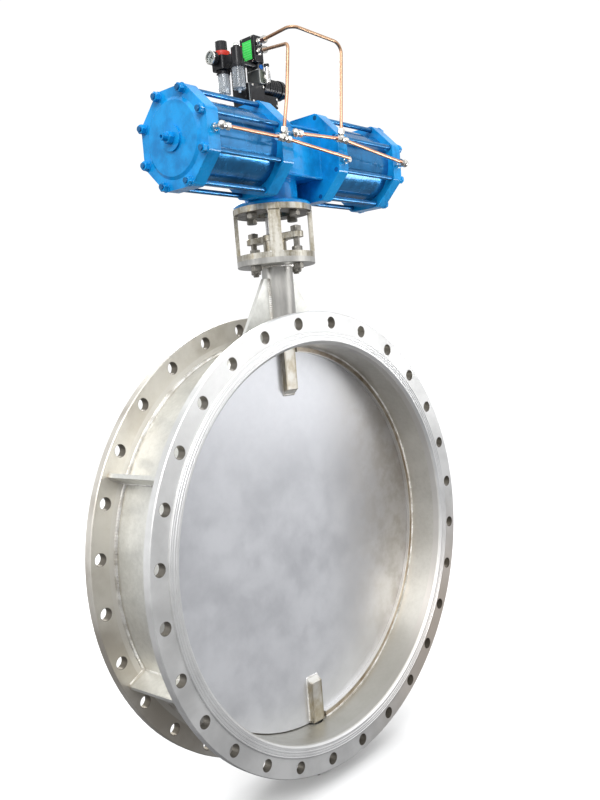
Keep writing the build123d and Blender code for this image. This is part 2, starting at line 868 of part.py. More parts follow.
with BuildPart() as switch_bracket:
    with BuildSketch(wall_plane(strap_y)):
        Polygon(
            (strap_left + foot, box_top),
            (strap_left, box_top),
            (strap_left, switch_low),
            (strap_right, switch_low),
            (strap_right, box_top + strap_t),
            (strap_right + foot, box_top + strap_t),
            (strap_right + foot, box_top),
            (strap_right - strap_t, box_top),
            (strap_right - strap_t, switch_low - strap_t),
            (strap_left + strap_t, switch_low - strap_t),
            (strap_left + strap_t, box_top + strap_t),
            (strap_left + foot, box_top + strap_t),
            align=None,
        )
    extrude(amount=-strap_w)
    with BuildSketch(stem_plane(switch_low - strap_t)):
        Circle(cam_shaft_r + 4)
    extrude(amount=strap_t, mode=Mode.SUBTRACT)
switch_bracket.part.label = "switch_bracket"
export_step(switch_bracket.part, "parts/switch_bracket.step")

switch_x = (strap_left, 18)
switch_y = (84, 149)
drum_x = -28            # the drum stands on the low part of the box
shelf_top = 1127
wall = 4

with BuildPart() as switch_box:
    with BuildSketch(wall_plane(switch_y[0])):
        Polygon(
            (switch_x[0], switch_low),
            (switch_x[1], switch_low),
            (switch_x[1], shelf_top),
            (drum_x, shelf_top),
            (drum_x, switch_top),
            (switch_x[0], switch_top),
            align=None,
        )
    extrude(amount=switch_y[0] - switch_y[1])
    fillet(switch_box.edges().filter_by(Axis.Z), radius=4)
    with BuildSketch(wall_plane(switch_y[0] + wall)):
        Polygon(
            (switch_x[0] + wall, switch_low + wall),
            (switch_x[1] - wall, switch_low + wall),
            (switch_x[1] - wall, shelf_top - wall),
            (drum_x - wall, shelf_top - wall),
            (drum_x - wall, switch_top - wall),
            (switch_x[0] + wall, switch_top - wall),
            align=None,
        )
    extrude(amount=switch_y[0] - switch_y[1] + 2 * wall, mode=Mode.SUBTRACT)
    with BuildSketch(stem_plane(switch_low)):
        Circle(cam_shaft_r + fit)
    extrude(amount=wall, mode=Mode.SUBTRACT)
switch_box.part.label = "switch_box"
export_step(switch_box.part, "parts/switch_box.step")

drum_y = 104
drum_z = 1152
drum_r = 24
drum_length = 80
gland_nose_r = 16
gland_nose_t = 14
cable_r = 8
cable_deep = 24


def drum_plane(x):
    """Sketch plane across the switch drum, centred on its axis."""
    return Plane(origin=(x, drum_y, drum_z), x_dir=(0, 1, 0), z_dir=(1, 0, 0))


with BuildPart() as switch_drum:
    with BuildSketch(drum_plane(drum_x)):
        Circle(drum_r)
    extrude(amount=16)
    with BuildSketch(drum_plane(drum_x)):
        Circle(drum_r - 2.5)
    extrude(amount=drum_length)
    with BuildSketch(drum_plane(drum_x + drum_length - 16)):
        Circle(drum_r)
    extrude(amount=12)
    with BuildSketch(drum_plane(drum_x + drum_length)):
        Circle(gland_nose_r)
    extrude(amount=gland_nose_t)
    with BuildSketch(drum_plane(drum_x + drum_length + gland_nose_t)):
        Circle(cable_r)
    extrude(amount=-cable_deep, mode=Mode.SUBTRACT)
switch_drum.part.label = "switch_drum"
export_step(switch_drum.part, "parts/switch_drum.step")

block_x = (-50, -30)
block_y = (79, 122)
block_top = 1198
coil_top = 1262
coil_w = 30
coil_d = 50
spool_r = 8
spool_z = 0.5 * (port_a_z + port_b_z)
button_r = 5.5
button_x = -42.5
button_z = 1189
button_deep = 12

with BuildPart() as valve_block:
    with BuildSketch(Plane.XY.offset(switch_top)):
        with Locations((sum(block_x) / 2, sum(block_y) / 2)):
            Rectangle(block_x[1] - block_x[0], block_y[1] - block_y[0])
    extrude(amount=block_top - switch_top)
    chamfer(valve_block.edges().filter_by(Axis.Z), length=2)
    with BuildSketch(wall_plane(block_y[0])):
        with Locations((button_x, button_z)):
            Circle(button_r + slot)
    extrude(amount=-button_deep, mode=Mode.SUBTRACT)
valve_block.part.label = "valve_block"
export_step(valve_block.part, "parts/valve_block.step")

with BuildPart() as solenoid_housing:
    with BuildSketch(Plane.XY.offset(block_top)):
        with Locations((coil_x + coil_w / 2, coil_front_y + coil_d / 2)):
            Rectangle(coil_w, coil_d)
    extrude(amount=coil_top - block_top)
    fillet(solenoid_housing.edges(), radius=2.5)
    with BuildSketch(wall_plane(coil_front_y)):
        with Locations((port_x, port_a_z), (port_x, port_b_z)):
            Circle(6)
    extrude(amount=-6, mode=Mode.SUBTRACT)
    with BuildSketch(wall_plane(coil_front_y + 6)):
        with Locations((coil_x + coil_w / 2, spool_z)):
            Circle(spool_r + fit)
    extrude(amount=-coil_d + 12, mode=Mode.SUBTRACT)
solenoid_housing.part.label = "solenoid_housing"
export_step(solenoid_housing.part, "parts/solenoid_housing.step")

spool_travel = 5
spool_start = coil_front_y + 6.5
spool_length = coil_d - 13 - spool_travel

with BuildPart() as valve_spool:
    with BuildSketch(wall_plane(spool_start)):
        with Locations((coil_x + coil_w / 2, spool_z)):
            Circle(spool_r)
    extrude(amount=-spool_length)
    with BuildSketch(wall_plane(spool_start + 7)):
        with Locations((coil_x + coil_w / 2, spool_z)):
            ring(spool_r, 5)
    extrude(amount=-7, mode=Mode.SUBTRACT)
    with BuildSketch(wall_plane(spool_start + 18)):
        with Locations((coil_x + coil_w / 2, spool_z)):
            ring(spool_r, 5)
    extrude(amount=-7, mode=Mode.SUBTRACT)
valve_spool.part.label = "valve_spool"
export_step(valve_spool.part, "parts/valve_spool.step")

button_travel = 2
button_proud = 3

with BuildPart() as override_button:
    with BuildSketch(wall_plane(block_y[0] - button_proud)):
        with Locations((button_x, button_z)):
            Circle(button_r)
    extrude(amount=-(button_proud + button_deep - button_travel - slot))
override_button.part.label = "override_button"
export_step(override_button.part, "parts/override_button.step")

silencer_x = -31
silencer_y = 70
silencer_low = 1151
silencer_neck = 1180
silencer_cap = 1190
silencer_r = 7.5

with BuildPart() as silencer:
    with BuildSketch(wall_plane(silencer_y)):
        with Locations((silencer_x - 4, silencer_low + 14)):
            RegularPolygon(7, 6)
    extrude(amount=silencer_y - block_y[0])
    with BuildSketch(post_plane(silencer_x, silencer_y, silencer_low)):
        Circle(silencer_r)
    extrude(amount=silencer_neck - silencer_low)
    chamfer(silencer.edges().filter_by(GeomType.CIRCLE).sort_by(Axis.Z)[-1], length=2)
    with BuildSketch(post_plane(silencer_x, silencer_y, silencer_neck)):
        Circle(4.5)
    extrude(amount=silencer_cap - silencer_neck)
    with BuildSketch(post_plane(silencer_x, silencer_y, silencer_cap)):
        Circle(6.5)
    extrude(amount=6)
silencer.part.label = "silencer"
export_step(silencer.part, "parts/silencer.step")

# ---- filter-regulator and lubricator ----
bowl_low = 1126
bowl_top = 1181
bowl_wall = 2
bowl_r = 15.2
filter_top = 1213
filter_half = 20
collar_r = 20
collar_top = 1225
lubricator_r = 14
lubricator_top = 1222
inlet_z = 1200
inlet_boss_r = 9
inlet_bore_r = 5.7
nipple_z = 1192
bowl_neck = 6

with BuildPart() as filter_body:
    with BuildSketch(post_plane(frl_x, regulator_y, bowl_top)):
        RectangleRounded(2 * filter_half, 2 * filter_half, 6)
    extrude(amount=filter_top - bowl_top)
    with BuildSketch(post_plane(frl_x, regulator_y, filter_top)):
        Circle(collar_r)
    extrude(amount=collar_top - filter_top)
    with BuildSketch(post_plane(frl_x, regulator_y, bowl_top - bowl_neck)):
        Circle(bowl_r - bowl_wall - 0.5)
    extrude(amount=bowl_neck)
    with BuildSketch(wall_plane(regulator_y + filter_half)):
        with Locations((frl_x, inlet_z)):
            Circle(inlet_boss_r)
    extrude(amount=-8)
    with BuildSketch(wall_plane(regulator_y + filter_half - 8)):
        with Locations((frl_x, inlet_z)):
            Circle(inlet_bore_r)
    extrude(amount=-16, mode=Mode.SUBTRACT)
filter_body.part.label = "filter_body"
export_step(filter_body.part, "parts/filter_body.step")

with BuildPart() as lubricator_body:
    with BuildSketch(post_plane(frl_x, lubricator_y, bowl_top + 4)):
        Circle(lubricator_r)
    extrude(amount=lubricator_top - bowl_top - 4)
    with BuildSketch(post_plane(frl_x, lubricator_y, lubricator_top)):
        Circle(8)
    extrude(amount=5)
    with BuildSketch(post_plane(frl_x, lubricator_y, bowl_top + 4 - bowl_neck)):
        Circle(bowl_r - bowl_wall - 0.5)
    extrude(amount=bowl_neck)
    with BuildSketch(wall_plane(lubricator_y)):
        with Locations((frl_x, inlet_z)):
            Rectangle(20, 20)
    extrude(amount=lubricator_y - regulator_y + filter_half)
    with BuildSketch(Plane.YZ.offset(frl_x)):
        with Locations((lubricator_y + 4, nipple_z)):
            Circle(6)
    extrude(amount=block_x[0] - frl_x)
lubricator_body.part.label = "lubricator_body"
export_step(lubricator_body.part, "parts/lubricator_body.step")

with BuildPart() as clear_bowls:
    for bowl_y, top in ((regulator_y, bowl_top), (lubricator_y, bowl_top + 4)):
        with BuildSketch(post_plane(frl_x, bowl_y, bowl_low)):
            Circle(bowl_r)
        extrude(amount=top - bowl_low)
        with BuildSketch(post_plane(frl_x, bowl_y, bowl_low + 3)):
            Circle(bowl_r - bowl_wall)
        extrude(amount=top - bowl_low - 3, mode=Mode.SUBTRACT)
    fillet(clear_bowls.faces().sort_by(Axis.Z)[0].edges(), radius=2.5)
    fillet(clear_bowls.faces().sort_by(Axis.Z)[1].edges(), radius=2.5)
clear_bowls.part.label = "clear_bowls"
export_step(clear_bowls.part, "parts/clear_bowls.step")

knob_low = collar_top + slot
knob_top = 1250
knob_r = 14.5

with BuildPart() as regulator_knob:
    with BuildSketch(post_plane(frl_x, regulator_y, knob_low)):
        Circle(knob_r)
        with PolarLocations(knob_r + 0.6, 16):
            Circle(1.5, mode=Mode.SUBTRACT)
    extrude(amount=knob_top - knob_low)
    fillet(regulator_knob.faces().sort_by(Axis.Z)[-1].edges(), radius=1)
regulator_knob.part.label = "regulator_knob"
export_step(regulator_knob.part, "parts/regulator_knob.step")

gauge_z = 1206
gauge_r = 16
gauge_back = frl_x - filter_half - 6
gauge_t = 14

with BuildPart() as pressure_gauge:
    with BuildSketch(Plane.YZ.offset(frl_x - filter_half)):
        with Locations((regulator_y, gauge_z)):
            Circle(5)
    extrude(amount=gauge_back - frl_x + filter_half)
    with BuildSketch(Plane.YZ.offset(gauge_back)):
        with Locations((regulator_y, gauge_z)):
            Circle(gauge_r)
    extrude(amount=-gauge_t)
    with BuildSketch(Plane.YZ.offset(gauge_back - gauge_t)):
        with Locations((regulator_y, gauge_z)):
            Circle(gauge_r - 2)
    extrude(amount=4, mode=Mode.SUBTRACT)
    with BuildSketch(Plane.YZ.offset(gauge_back - gauge_t + 4)):
        with Locations((regulator_y, gauge_z)):
            Circle(1 + fit)
    extrude(amount=3, mode=Mode.SUBTRACT)
pressure_gauge.part.label = "pressure_gauge"
export_step(pressure_gauge.part, "parts/pressure_gauge.step")

needle_x = gauge_back - gauge_t + 3.4

with BuildPart() as gauge_needle:
    with BuildSketch(Plane.YZ.offset(needle_x)):
        with Locations((regulator_y, gauge_z)):
            Circle(2.2)
            Polygon((0, 1), (0, -1), (-12, -0.3), (-12, 0.3), align=None, rotation=-45)
    extrude(amount=-0.8)
    with BuildSketch(Plane.YZ.offset(needle_x)):
        with Locations((regulator_y, gauge_z)):
            Circle(1)
    extrude(amount=3)
gauge_needle.part.label = "gauge_needle"
export_step(gauge_needle.part, "parts/gauge_needle.step")

arm_z = 1196

with BuildPart() as frl_bracket:
    with BuildSketch(Plane.YZ.offset(strap_left - strap_t)):
        with Locations((strap_y - 5, switch_top + 10)):
            Rectangle(46, 96)
    extrude(amount=strap_t)
    with BuildSketch(Plane.XY.offset(arm_z)):
        with Locations((0.5 * (frl_x + filter_half + strap_left), regulator_y - 4)):
            Rectangle(strap_left - frl_x - filter_half, 20)
    extrude(amount=strap_t)
frl_bracket.part.label = "frl_bracket"
export_step(frl_bracket.part, "parts/frl_bracket.step")

# ======================= copper air lines =======================

tee_a = Vector(68, pipe_y, 1000)
tee_b = Vector(-145, pipe_y, 976)
elbow_a_left = Vector(-102, pipe_y, 992)
elbow_a_right = Vector(337, pipe_y, 969)
elbow_b_left = Vector(-337, pipe_y, 978)
elbow_b_right = Vector(104, pipe_y, 956)
port_a = Vector(port_x, coil_front_y - 16, port_a_z)
port_b = Vector(port_x, coil_front_y - 16, port_b_z)
riser_a = [port_a, (-58, -44, 1249), (103, -62, 1234), tee_a + Vector(1.5, 0.3, 12)]
riser_b = [port_b, (-90, -56, 1198), (-114, -62, 1078), tee_b + Vector(3.5, 0.6, 12)]
socket = 10
pipe_bore_r = 3


def pipe(points, bend_r):
    """Copper tube along straight runs joined by round bends."""
    with BuildPart() as tube:
        with BuildLine() as route:
            if len(points) > 2:
                FilletPolyline(*points, radius=bend_r)
            else:
                Line(*points)
        start = Plane(origin=route.line @ 0, z_dir=route.line % 0)
        with BuildSketch(start):
            ring(pipe_r, pipe_bore_r)
        sweep(path=route.line)
    return tube


def arm(tee, elbow):
    """Straight tube from a tee's socket to an elbow's socket."""
    along = (elbow - tee).normalized()
    return pipe([tee + along * socket, elbow - along * socket], 0)


with BuildPart() as air_line_a:
    add(pipe(riser_a, 24).part)
    add(arm(tee_a, elbow_a_left).part)
    add(arm(tee_a, elbow_a_right).part)
air_line_a.part.label = "air_line_a"
export_step(air_line_a.part, "parts/air_line_a.step")

with BuildPart() as air_line_b:
    add(pipe(riser_b, 18).part)
    add(arm(tee_b, elbow_b_left).part)
    add(arm(tee_b, elbow_b_right).part)
air_line_b.part.label = "air_line_b"
export_step(air_line_b.part, "parts/air_line_b.step")

fitting_r = 7
knuckle_r = 10
union_r = 9
union_t = 11


def limb(centre, along):
    """Arm of a fitting: a round neck and a union nut, bored for the tube."""
    with BuildPart() as part:
        with BuildSketch(Plane(origin=centre + along * (socket - 3), z_dir=along)):
            Circle(fitting_r)
        extrude(amount=4)
        with BuildSketch(Plane(origin=centre + along * socket, z_dir=along)):
            RegularPolygon(union_r, 6)
        extrude(amount=union_t)
        with BuildSketch(Plane(origin=centre + along * socket, z_dir=along)):
            Circle(pipe_r)
        extrude(amount=union_t, mode=Mode.SUBTRACT)
    return part


with BuildPart() as pipe_fittings:
    for tee, riser, ends in (
        (tee_a, riser_a, (elbow_a_left, elbow_a_right)),
        (tee_b, riser_b, (elbow_b_left, elbow_b_right)),
    ):
        with Locations(tee):
            Sphere(knuckle_r)
        up = (Vector(riser[-2]) - riser[-1]).normalized()
        add(limb(riser[-1] - up * socket, up).part)
        for elbow in ends:
            along = (elbow - tee).normalized()
            with Locations(elbow):
                Sphere(knuckle_r)
            add(limb(tee, along).part)
            add(limb(elbow, -along).part)
            with BuildSketch(wall_plane(flat_y)):
                with Locations((elbow.X, elbow.Z)):
                    RegularPolygon(union_r, 6)
            extrude(amount=8)
            with BuildSketch(wall_plane(flat_y - 8)):
                with Locations((elbow.X, elbow.Z)):
                    Circle(fitting_r)
            extrude(amount=flat_y - 8 - pipe_y - 5)
    for port, riser in ((port_a, riser_a), (port_b, riser_b)):
        along = (Vector(riser[1]) - port).normalized()
        knuckle = port - along * socket
        with BuildSketch(wall_plane(coil_front_y + 6)):
            with Locations((port_x, port.Z)):
                Circle(6)
        extrude(amount=coil_front_y + 6 - knuckle.Y)
        with BuildSketch(wall_plane(coil_front_y)):
            with Locations((port_x, port.Z)):
                RegularPolygon(union_r, 6)
        extrude(amount=3)
        with Locations(knuckle):
            Sphere(fitting_r + 0.4)
        add(limb(knuckle, along).part)
pipe_fittings.part.label = "pipe_fittings"
export_step(pipe_fittings.part, "parts/pipe_fittings.step")
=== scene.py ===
"""Looks of the air-operated butterfly valve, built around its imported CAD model. Metres."""

import math

import bmesh
import bpy
from mathutils import Matrix, Vector, noise


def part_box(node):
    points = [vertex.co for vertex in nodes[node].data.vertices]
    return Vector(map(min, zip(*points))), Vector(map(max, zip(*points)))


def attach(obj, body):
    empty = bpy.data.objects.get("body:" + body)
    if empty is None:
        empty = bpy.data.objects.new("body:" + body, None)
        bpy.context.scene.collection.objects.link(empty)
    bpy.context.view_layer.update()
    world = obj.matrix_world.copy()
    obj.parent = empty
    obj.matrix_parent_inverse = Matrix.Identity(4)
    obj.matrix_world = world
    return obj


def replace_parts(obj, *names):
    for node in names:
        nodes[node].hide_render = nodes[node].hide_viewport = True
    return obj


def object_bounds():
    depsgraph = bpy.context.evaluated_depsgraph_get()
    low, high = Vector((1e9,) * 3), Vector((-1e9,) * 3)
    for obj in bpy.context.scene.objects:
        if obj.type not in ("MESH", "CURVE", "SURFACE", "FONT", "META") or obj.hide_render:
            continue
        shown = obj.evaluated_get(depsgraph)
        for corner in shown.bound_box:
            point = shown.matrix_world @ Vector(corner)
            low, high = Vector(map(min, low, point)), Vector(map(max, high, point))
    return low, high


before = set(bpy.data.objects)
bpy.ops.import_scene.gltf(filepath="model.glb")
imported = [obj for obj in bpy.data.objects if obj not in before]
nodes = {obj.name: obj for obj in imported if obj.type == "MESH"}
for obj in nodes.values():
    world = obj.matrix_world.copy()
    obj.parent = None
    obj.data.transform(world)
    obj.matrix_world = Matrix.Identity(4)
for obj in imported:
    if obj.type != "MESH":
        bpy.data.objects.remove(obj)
cad_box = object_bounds()

MM = 0.001
X = Vector((1, 0, 0))
Y = Vector((0, 1, 0))
Z = Vector((0, 0, 1))


# ======================= places =======================


def low(node):
    """Lowest corner of a CAD node's box."""
    return Vector(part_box(node)[0])


def high(node):
    """Highest corner of a CAD node's box."""
    return Vector(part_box(node)[1])


def middle(node):
    """Centre of a CAD node's box."""
    return (low(node) + high(node)) / 2


STEM = middle("disc_plate")
FLANGE_BACK_IN = high("inlet_flange").y
FLANGE_BACK_OUT = low("outlet_flange").y
SHELL_R = high("body_shell").x
BORE_R = 506 * MM
NECK_R = high("neck_tube").x
NECK_TOP = high("neck_tube").z
POT_R = high("bearing_pot").x
PLATE_HALF = 5 * MM
RIB_ANGLES = (25.714, 154.286, 205.714, 334.286)
RIB_OUTER = 568 * MM
GUSSET_TOP = 679 * MM
GUSSET_REACH = 170 * MM
HUB_HALF = 21 * MM
HUB_INNER = 380 * MM
HUB_OUTER = 499 * MM
BRACKET_R = 100 * MM
POST_HALF_THICK = 5 * MM
POST_HALF_WIDE = 15 * MM
POST_LOW = 740 * MM
POST_TOP = low("bracket_bolts").z + 13 * MM
AXIS_Y = middle("end_cap_left").y
AXIS_Z = middle("end_cap_left").z
CAP_FACE = 355 * MM
BOSS_FACE = 365 * MM
TURRET_R = 68.5 * MM
TURRET_TALL = 53 * MM
TIE_CIRCLE = 106 * MM
FIXING_CIRCLE = 75 * MM
HOLE_PITCH = 2 * math.pi / 28
HOLE_CIRCLE = 560 * MM
SEAT_HALF = math.degrees(math.acos(34 / 506))
SMOOTH_ANGLE = math.radians(35)
BEVEL_ANGLE = math.radians(40)
AXIS_GAP = 1e-5
BOX_FACES = [(0, 1, 3, 2), (4, 6, 7, 5), (0, 4, 5, 1), (2, 3, 7, 6), (0, 2, 6, 4), (1, 5, 7, 3)]


# ======================= mesh helpers =======================

def add_to_scene(name, data):
    """A new object in the scene that holds the given data."""
    made = bpy.data.objects.new(name, data)
    bpy.context.scene.collection.objects.link(made)
    return made


def piece(name, verts, faces, material, body="body"):
    """A mesh object in the CAD frame, smooth but for its sharp edges, riding on a CAD body."""
    mesh = bpy.data.meshes.new(name)
    mesh.from_pydata([tuple(v) for v in verts], [], faces)
    mesh.validate()
    work = bmesh.new()
    work.from_mesh(mesh)
    bmesh.ops.recalc_face_normals(work, faces=work.faces)
    work.to_mesh(mesh)
    work.free()
    obj = add_to_scene(name, mesh)
    mesh.materials.append(material)
    mesh.shade_smooth()
    mesh.set_sharp_from_angle(angle=SMOOTH_ANGLE)
    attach(obj, body)
    return obj


def basis(along):
    """Two directions square to the given one, and to each other."""
    along = along.normalized()
    helper = Vector((0, 0, 1)) if abs(along.z) < 0.9 else Vector((0, 1, 0))
    side = along.cross(helper).normalized()
    return side, along.cross(side).normalized()


def ring_strip(rings, closed=False):
    """Verts and faces of equal rings of points joined into a skin, with capped ends."""
    count = len(rings[0])
    verts = [v for ring in rings for v in ring]
    faces = []
    spans = len(rings) if closed else len(rings) - 1
    for i in range(spans):
        a = i * count
        b = (i + 1) % len(rings) * count
        for j in range(count):
            k = (j + 1) % count
            faces.append((a + j, a + k, b + k, b + j))
    if not closed:
        faces.append(tuple(reversed(range(count))))
        faces.append(tuple(range(len(verts) - count, len(verts))))
    return verts, faces


def merge(parts):
    """Joins several (verts, faces) into one."""
    verts = []
    faces = []
    for part_verts, part_faces in parts:
        base = len(verts)
        verts.extend(part_verts)
        faces.extend(tuple(i + base for i in face) for face in part_faces)
    return verts, faces


def circle(centre, u, v, radius, sides):
    """Evenly spaced points round a centre, in the plane of u and v."""
    points = []
    for j in range(sides):
        angle = 2 * math.pi * j / sides
        points.append(centre + (u * math.cos(angle) + v * math.sin(angle)) * radius)
    return points


def hoops(origin, along, profile, sides):
    """Circles about an axis, one at each (distance along, radius)."""
    along = Vector(along).normalized()
    u, v = basis(along)
    start = Vector(origin)
    return [circle(start + along * distance, u, v, radius, sides) for distance, radius in profile]


def turned(origin, along, profile, sides=48):
    """A solid turned from (distance along, radius) points, from one end to the other."""
    open_profile = [(distance, max(radius, AXIS_GAP)) for distance, radius in profile]
    return ring_strip(hoops(origin, along, open_profile, sides))


def sleeve(origin, along, section, sides=48):
    """A ring turned from a closed section of (distance along, radius) points."""
    return ring_strip(hoops(origin, along, section, sides), closed=True)


def band(start, end, inner, outer, edge):
    """Closed section of a plain ring with chamfered outer rims."""
    return [
        (start, inner), (start, outer - edge), (start + edge, outer),
        (end - edge, outer), (end, outer - edge), (end, inner),
    ]


def slab(x, y, z):
    """A box between the given pairs of millimetres on each axis."""
    return [Vector((a, b, c)) * MM for a in x for b in y for c in z], BOX_FACES


def soft(obj, width):
    """Rounds the sharp edges of a piece."""
    bevel = obj.modifiers.new("soft_edge", "BEVEL")
    bevel.width = width
    bevel.segments = 2
    bevel.limit_method = "ANGLE"
    bevel.angle_limit = BEVEL_ANGLE
    bevel.use_clamp_overlap = True
    return obj


def rounded(start, end, radius, edge):
    """Profile of a plain disc or barrel with rounded rims."""
    steps = 3
    points = [(start, radius - edge)]
    for i in range(steps + 1):
        turn = math.pi / 2 * i / steps
        points.append((start + edge * (1 - math.sin(turn)), radius - edge * (1 - math.cos(turn))))
    points = sorted(set((round(a, 7), round(b, 7)) for a, b in points))
    back = [(start + end - a, b) for a, b in reversed(points)]
    return [(start, 0)] + points + back + [(end, 0)]


def hexagon_nut(origin, along, thickness, across, turn=0.0):
    """A nut with chamfered corners on both faces, as a skin of rings."""
    along = Vector(along).normalized()
    u, v = basis(along)
    corner = across / math.sqrt(3)
    sides = 36
    steps = 3
    pin = 0.0002
    rings = []

    def hex_radius(angle):
        sector = (angle + turn) % (math.pi / 3) - math.pi / 6
        return across / 2 / math.cos(sector)

    def level(distance, limit):
        """Outline of the nut at one height, cut back to a circle of the given radius."""
        centre = Vector(origin) + along * distance
        ring = []
        for j in range(sides):
            angle = 2 * math.pi * j / sides
            radius = min(hex_radius(angle), limit)
            ring.append(centre + (u * math.cos(angle) + v * math.sin(angle)) * radius)
        return ring

    face_r = across / 2 * 0.96
    drop = (corner - face_r) * 0.5
    rings.append([Vector(origin)] * sides)
    rings.append(level(0, face_r))
    for i in range(steps + 1):
        part = i / steps
        rings.append(level(drop * part, face_r + (corner - face_r) * part))
    for i in range(steps + 1):
        part = 1 - i / steps
        rings.append(level(thickness - drop * part, face_r + (corner - face_r) * part))
    rings.append(level(thickness, face_r))
    rings.append([Vector(origin) + along * thickness] * sides)
    for ring in (rings[0], rings[-1]):
        centre = ring[0]
        wide = rings[1]
        ring[:] = [centre + (wide[j] - wide[j - sides // 2]) * pin for j in range(sides)]
    return ring_strip(rings)


def thread(origin, along, length, radius, pitch):
    """Threaded end of a stud: rounded ridges and a chamfered tip."""
    profile = [(0, 0), (0, radius)]
    depth = radius * 0.1
    turns = max(1, int((length - 2 * depth) / pitch))
    for i in range(turns):
        start = i * pitch
        profile.append((start + pitch * 0.25, radius - depth))
        profile.append((start + pitch * 0.5, radius - depth))
        profile.append((start + pitch * 0.8, radius))
        profile.append((start + pitch * 0.98, radius))
    profile.append((length - depth, radius - depth))
    profile.append((length, radius - 2.4 * depth))
    profile.append((length, 0))
    return turned(origin, along, profile, sides=20)


def resampled(points, step, closed):
    """Evenly spaced points along a polyline."""
    loop = list(points) + ([points[0]] if closed else [])
    out = []
    carried = 0.0
    for a, b in zip(loop, loop[1:]):
        span = (b - a).length
        while carried <= span:
            out.append(a + (b - a) * (carried / span if span else 0))
            carried += step
        carried -= span
    return out


def bead(points, radius, closed=False, seed=0, ripples=0.20):
    """A weld bead: a low rounded ridge with the even ripples of a hand-laid run."""
    step = radius * 0.45
    path = resampled([Vector(p) for p in points], step, closed)
    if len(path) < 3:
        return [], []
    rings = []
    count = len(path)
    sides = 8
    for i, centre in enumerate(path):
        before = path[i - 1] if (i or closed) else path[0]
        after = path[(i + 1) % count] if (i < count - 1 or closed) else path[-1]
        along = (after - before).normalized()
        u, v = basis(along)
        ripple = ripples * math.sin(i * 2.1 + seed)
        wander = 0.22 * noise.noise(centre * 55 + Vector((seed, 0, 0)))
        size = radius * (1 + ripple + wander)
        rings.append(circle(centre, u, v, size, sides))
    return ring_strip(rings, closed)


def arc(centre, u, v, radius, start=0.0, end=360.0, step=3.0):
    """Points round a circle in the plane of u and v, in degrees."""
    count = max(2, int(abs(end - start) / step))
    whole = abs(end - start) >= 360
    points = []
    for i in range(count + (0 if whole else 1)):
        angle = math.radians(start + (end - start) * i / count)
        across = Vector(u) * radius * math.cos(angle)
        points.append(Vector(centre) + across + Vector(v) * radius * math.sin(angle))
    return points


# ======================= materials =======================

class Look:
    """A Principled material that is built up from small procedural steps."""

    def __init__(self, name, **inputs):
        self.material = bpy.data.materials.new(name)
        self.material.use_nodes = True
        self.tree = self.material.node_tree
        self.shader = self.tree.nodes["Principled BSDF"]
        self.place = self.node("ShaderNodeTexCoord").outputs["Object"]
        self.normal = None
        for key, value in inputs.items():
            self.shader.inputs[key.replace("_", " ")].default_value = value

    def node(self, kind, **inputs):
        made = self.tree.nodes.new(kind)
        for key, value in inputs.items():
            self.link(value, made.inputs[key.replace("_", " ")])
        return made

    def link(self, value, socket):
        if isinstance(value, bpy.types.NodeSocket):
            self.tree.links.new(value, socket)
        else:
            socket.default_value = value

    def stretched(self, scale):
        """Object coordinates scaled apart along the axes."""
        return self.node("ShaderNodeMapping", Vector=self.place, Scale=scale).outputs["Vector"]

    def noise(self, scale, detail=4.0, rough=0.55, where=None, distortion=0.0):
        made = self.node(
            "ShaderNodeTexNoise", Vector=where or self.place, Scale=scale, Detail=detail,
            Roughness=rough, Distortion=distortion,
        )
        return made.outputs["Fac"]

    def math(self, operation, a, b=0.0):
        made = self.tree.nodes.new("ShaderNodeMath")
        made.operation = operation
        self.link(a, made.inputs[0])
        self.link(b, made.inputs[1])
        return made.outputs[0]

    def times(self, a, b):
        return self.math("MULTIPLY", a, b)

    def weighed(self, a, a_share, b, b_share):
        """Sum of two values, each times its share."""
        return self.math("ADD", self.times(a, a_share), self.times(b, b_share))

    def length(self, a, b):
        """Length of the vector (a, b)."""
        return self.math("SQRT", self.weighed(a, a, b, b))

    def gap(self, a, b):
        """Distance between two values."""
        return self.math("ABSOLUTE", self.math("SUBTRACT", a, b))

    def span(self, value, low_in, high_in, low_out=0.0, high_out=1.0):
        """Eases from low_out to high_out as the value goes from low_in to high_in."""
        made = self.node(
            "ShaderNodeMapRange", Value=value, From_Min=low_in, From_Max=high_in,
            To_Min=low_out, To_Max=high_out,
        )
        made.interpolation_type = "SMOOTHSTEP"
        return made.outputs["Result"]

    def blend(self, factor, a, b):
        """Colour a where the factor is 0, colour b where it is 1."""
        made = self.tree.nodes.new("ShaderNodeMix")
        made.data_type = "RGBA"
        self.link(factor, made.inputs["Factor"])
        for value, socket in ((a, made.inputs[6]), (b, made.inputs[7])):
            self.link(value if isinstance(value, bpy.types.NodeSocket) else (*value, 1.0), socket)
        return made.outputs[2]

    def axes(self):
        made = self.node("ShaderNodeSeparateXYZ", Vector=self.place)
        return made.outputs["X"], made.outputs["Y"], made.outputs["Z"]

    def radius_from_bore(self):
        """Distance from the pipe axis, for turned marks on the flanges."""
        x, _, z = self.axes()
        return self.length(x, z)

    def bump(self, height, strength, distance):
        made = self.node("ShaderNodeBump", Strength=strength, Distance=distance, Height=height)
        if self.normal:
            self.link(self.normal, made.inputs["Normal"])
        self.normal = made.outputs["Normal"]

    def finish(self, color=None, rough=None):
        if color is not None:
            self.link(color, self.shader.inputs["Base Color"])
        if rough is not None:
            self.link(rough, self.shader.inputs["Roughness"])
        if self.normal:
            self.link(self.normal, self.shader.inputs["Normal"])
        return self.material


